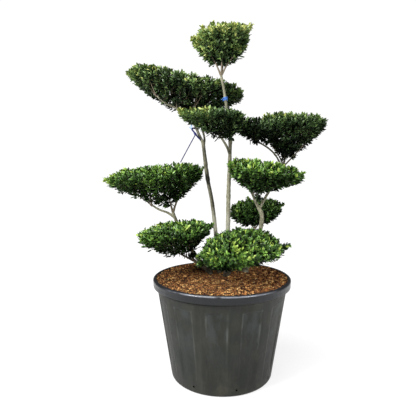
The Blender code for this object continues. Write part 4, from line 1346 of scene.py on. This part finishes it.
def make_ties():
    """A navy strap with its knot and line, a pale loop, and a bright wrap."""
    navy = twine("twine_navy", (0.008, 0.009, 0.075), (0.022, 0.026, 0.170))
    grey_blue = twine("twine_grey_blue", (0.024, 0.026, 0.090), (0.070, 0.074, 0.200))
    pale = twine("twine_pale", (0.160, 0.330, 0.620), (0.420, 0.620, 0.850))
    bright = twine("twine_bright", (0.040, 0.160, 0.600), (0.150, 0.360, 0.850))
    make_tie("blue_strap", "tie_band_left", navy, (STRAP, CORD_RADII["strap"]),
             (KNOT, CORD_RADII["knot"]))
    make_tie("blue_loop", "tie_band_left", pale, (LOOP, CORD_RADII["loop"]))
    make_tie("blue_line", "tie_line", grey_blue, (LINE, CORD_RADII["line"]))
    wrap = []
    for i in range(WRAP_TURNS * 8 + 1):
        turn = math.tau * i / 8
        wrap.append((WRAP_CENTRE[0] + WRAP_RADIUS * math.cos(turn),
                     WRAP_CENTRE[1] + WRAP_RADIUS * math.sin(turn),
                     WRAP_CENTRE[2] + WRAP_PITCH * (i / 8 - WRAP_TURNS / 2)
                     + WRAP_SLANT * math.cos(turn)))
    make_tie("blue_wrap", "tie_band_right", bright, (wrap, CORD_RADII["wrap"]),
             (WRAP_TAIL, CORD_RADII["tail"]))


# ---------------------------------------------------------------- camera and light

CAMERA_PLACE = (0, -1.79, 0.915)
CAMERA_FOCUS = 400 / 416     # focal length, as a share of the sensor's width
CAMERA_PITCH = 4.95          # degrees below level
CAMERA_YAW = 2.0             # degrees towards -X
WORLD_LIGHT = 0.13           # from all sides
BACKDROP = 1.05              # brightness that the camera sees behind the plant
OVERHEAD_LIGHT = 3.2         # from a broad soft light over the plant


def make_camera():
    """The camera, looking along +Y a little downwards."""
    camera = bpy.data.cameras.new("camera")
    camera.sensor_width = 36
    camera.lens = camera.sensor_width * CAMERA_FOCUS
    camera.clip_start = 0.01
    obj = placed("camera", camera)
    obj.location = CAMERA_PLACE
    obj.rotation_euler = (math.radians(90 - CAMERA_PITCH), 0, math.radians(CAMERA_YAW))
    bpy.context.scene.camera = obj


def make_softbox(name, place, target, size, power, spread=180):
    """A square area light that faces a point, its beam spread over some degrees."""
    light = bpy.data.lights.new(name, "AREA")
    light.shape = "SQUARE"
    light.size = size
    light.energy = power
    light.spread = math.radians(spread)
    obj = placed(name, light)
    obj.location = place
    obj.rotation_euler = (Vector(target) - Vector(place)).to_track_quat("-Z", "Y").to_euler()


def make_studio():
    """A pale floor under soft light."""
    world = bpy.data.worlds.new("studio")
    world.use_nodes = True
    nodes, links = world.node_tree.nodes, world.node_tree.links
    background = nodes["Background"]
    camera_sees = nodes.new("ShaderNodeLightPath")
    backdrop = nodes.new("ShaderNodeBackground")
    for sky, strength in ((background, WORLD_LIGHT), (backdrop, BACKDROP)):
        sky.inputs["Color"].default_value = (1, 1, 1, 1)
        sky.inputs["Strength"].default_value = strength
    mix = nodes.new("ShaderNodeMixShader")
    sources = (camera_sees.outputs["Is Camera Ray"], background.outputs[0], backdrop.outputs[0])
    for index, source in enumerate(sources):
        links.new(source, mix.inputs[index])
    links.new(mix.outputs[0], nodes["World Output"].inputs["Surface"])
    bpy.context.scene.world = world
    deselect()
    bpy.ops.mesh.primitive_plane_add(size=60, location=(0, 0, -0.0005))
    floor = bpy.context.object
    floor.name = "floor"
    paint = Finish("floor_paint", Base_Color=(0.20, 0.20, 0.20), Roughness=0.9,
                   Specular_IOR_Level=0.1, Emission_Strength=0.86)
    paint.shader.inputs["Emission Color"].default_value = (1, 1, 1, 1)
    floor.data.materials.append(paint.material)
    make_softbox("key", (-2.5, -2.3, 2.7), (0, 0, 0.8), 1.0, 180)
    make_softbox("fill", (1.5, -1.6, 1.15), (0.19, -0.06, 0.455), 0.4, 0.8, 20)
    sun = bpy.data.lights.new("overhead", "SUN")
    sun.energy = OVERHEAD_LIGHT
    sun.angle = math.radians(30)
    overhead = placed("overhead", sun)
    overhead.rotation_euler = (math.radians(12), math.radians(-8), 0)
    bpy.context.scene.view_settings.view_transform = "Standard"


# ---------------------------------------------------------------- the whole plant

deselect()
make_camera()
make_tub()
make_chips(make_mulch_bed())
dark_bark, pale_bark = bark("holly_bark", 1.0), bark("holly_bark_pale", PALE_BARK)
for stem, members in STEMS.items():
    make_bark(stem, members, dark_bark if "trunk_left" in members else pale_bark)
make_foliage()
make_ties()
make_studio()
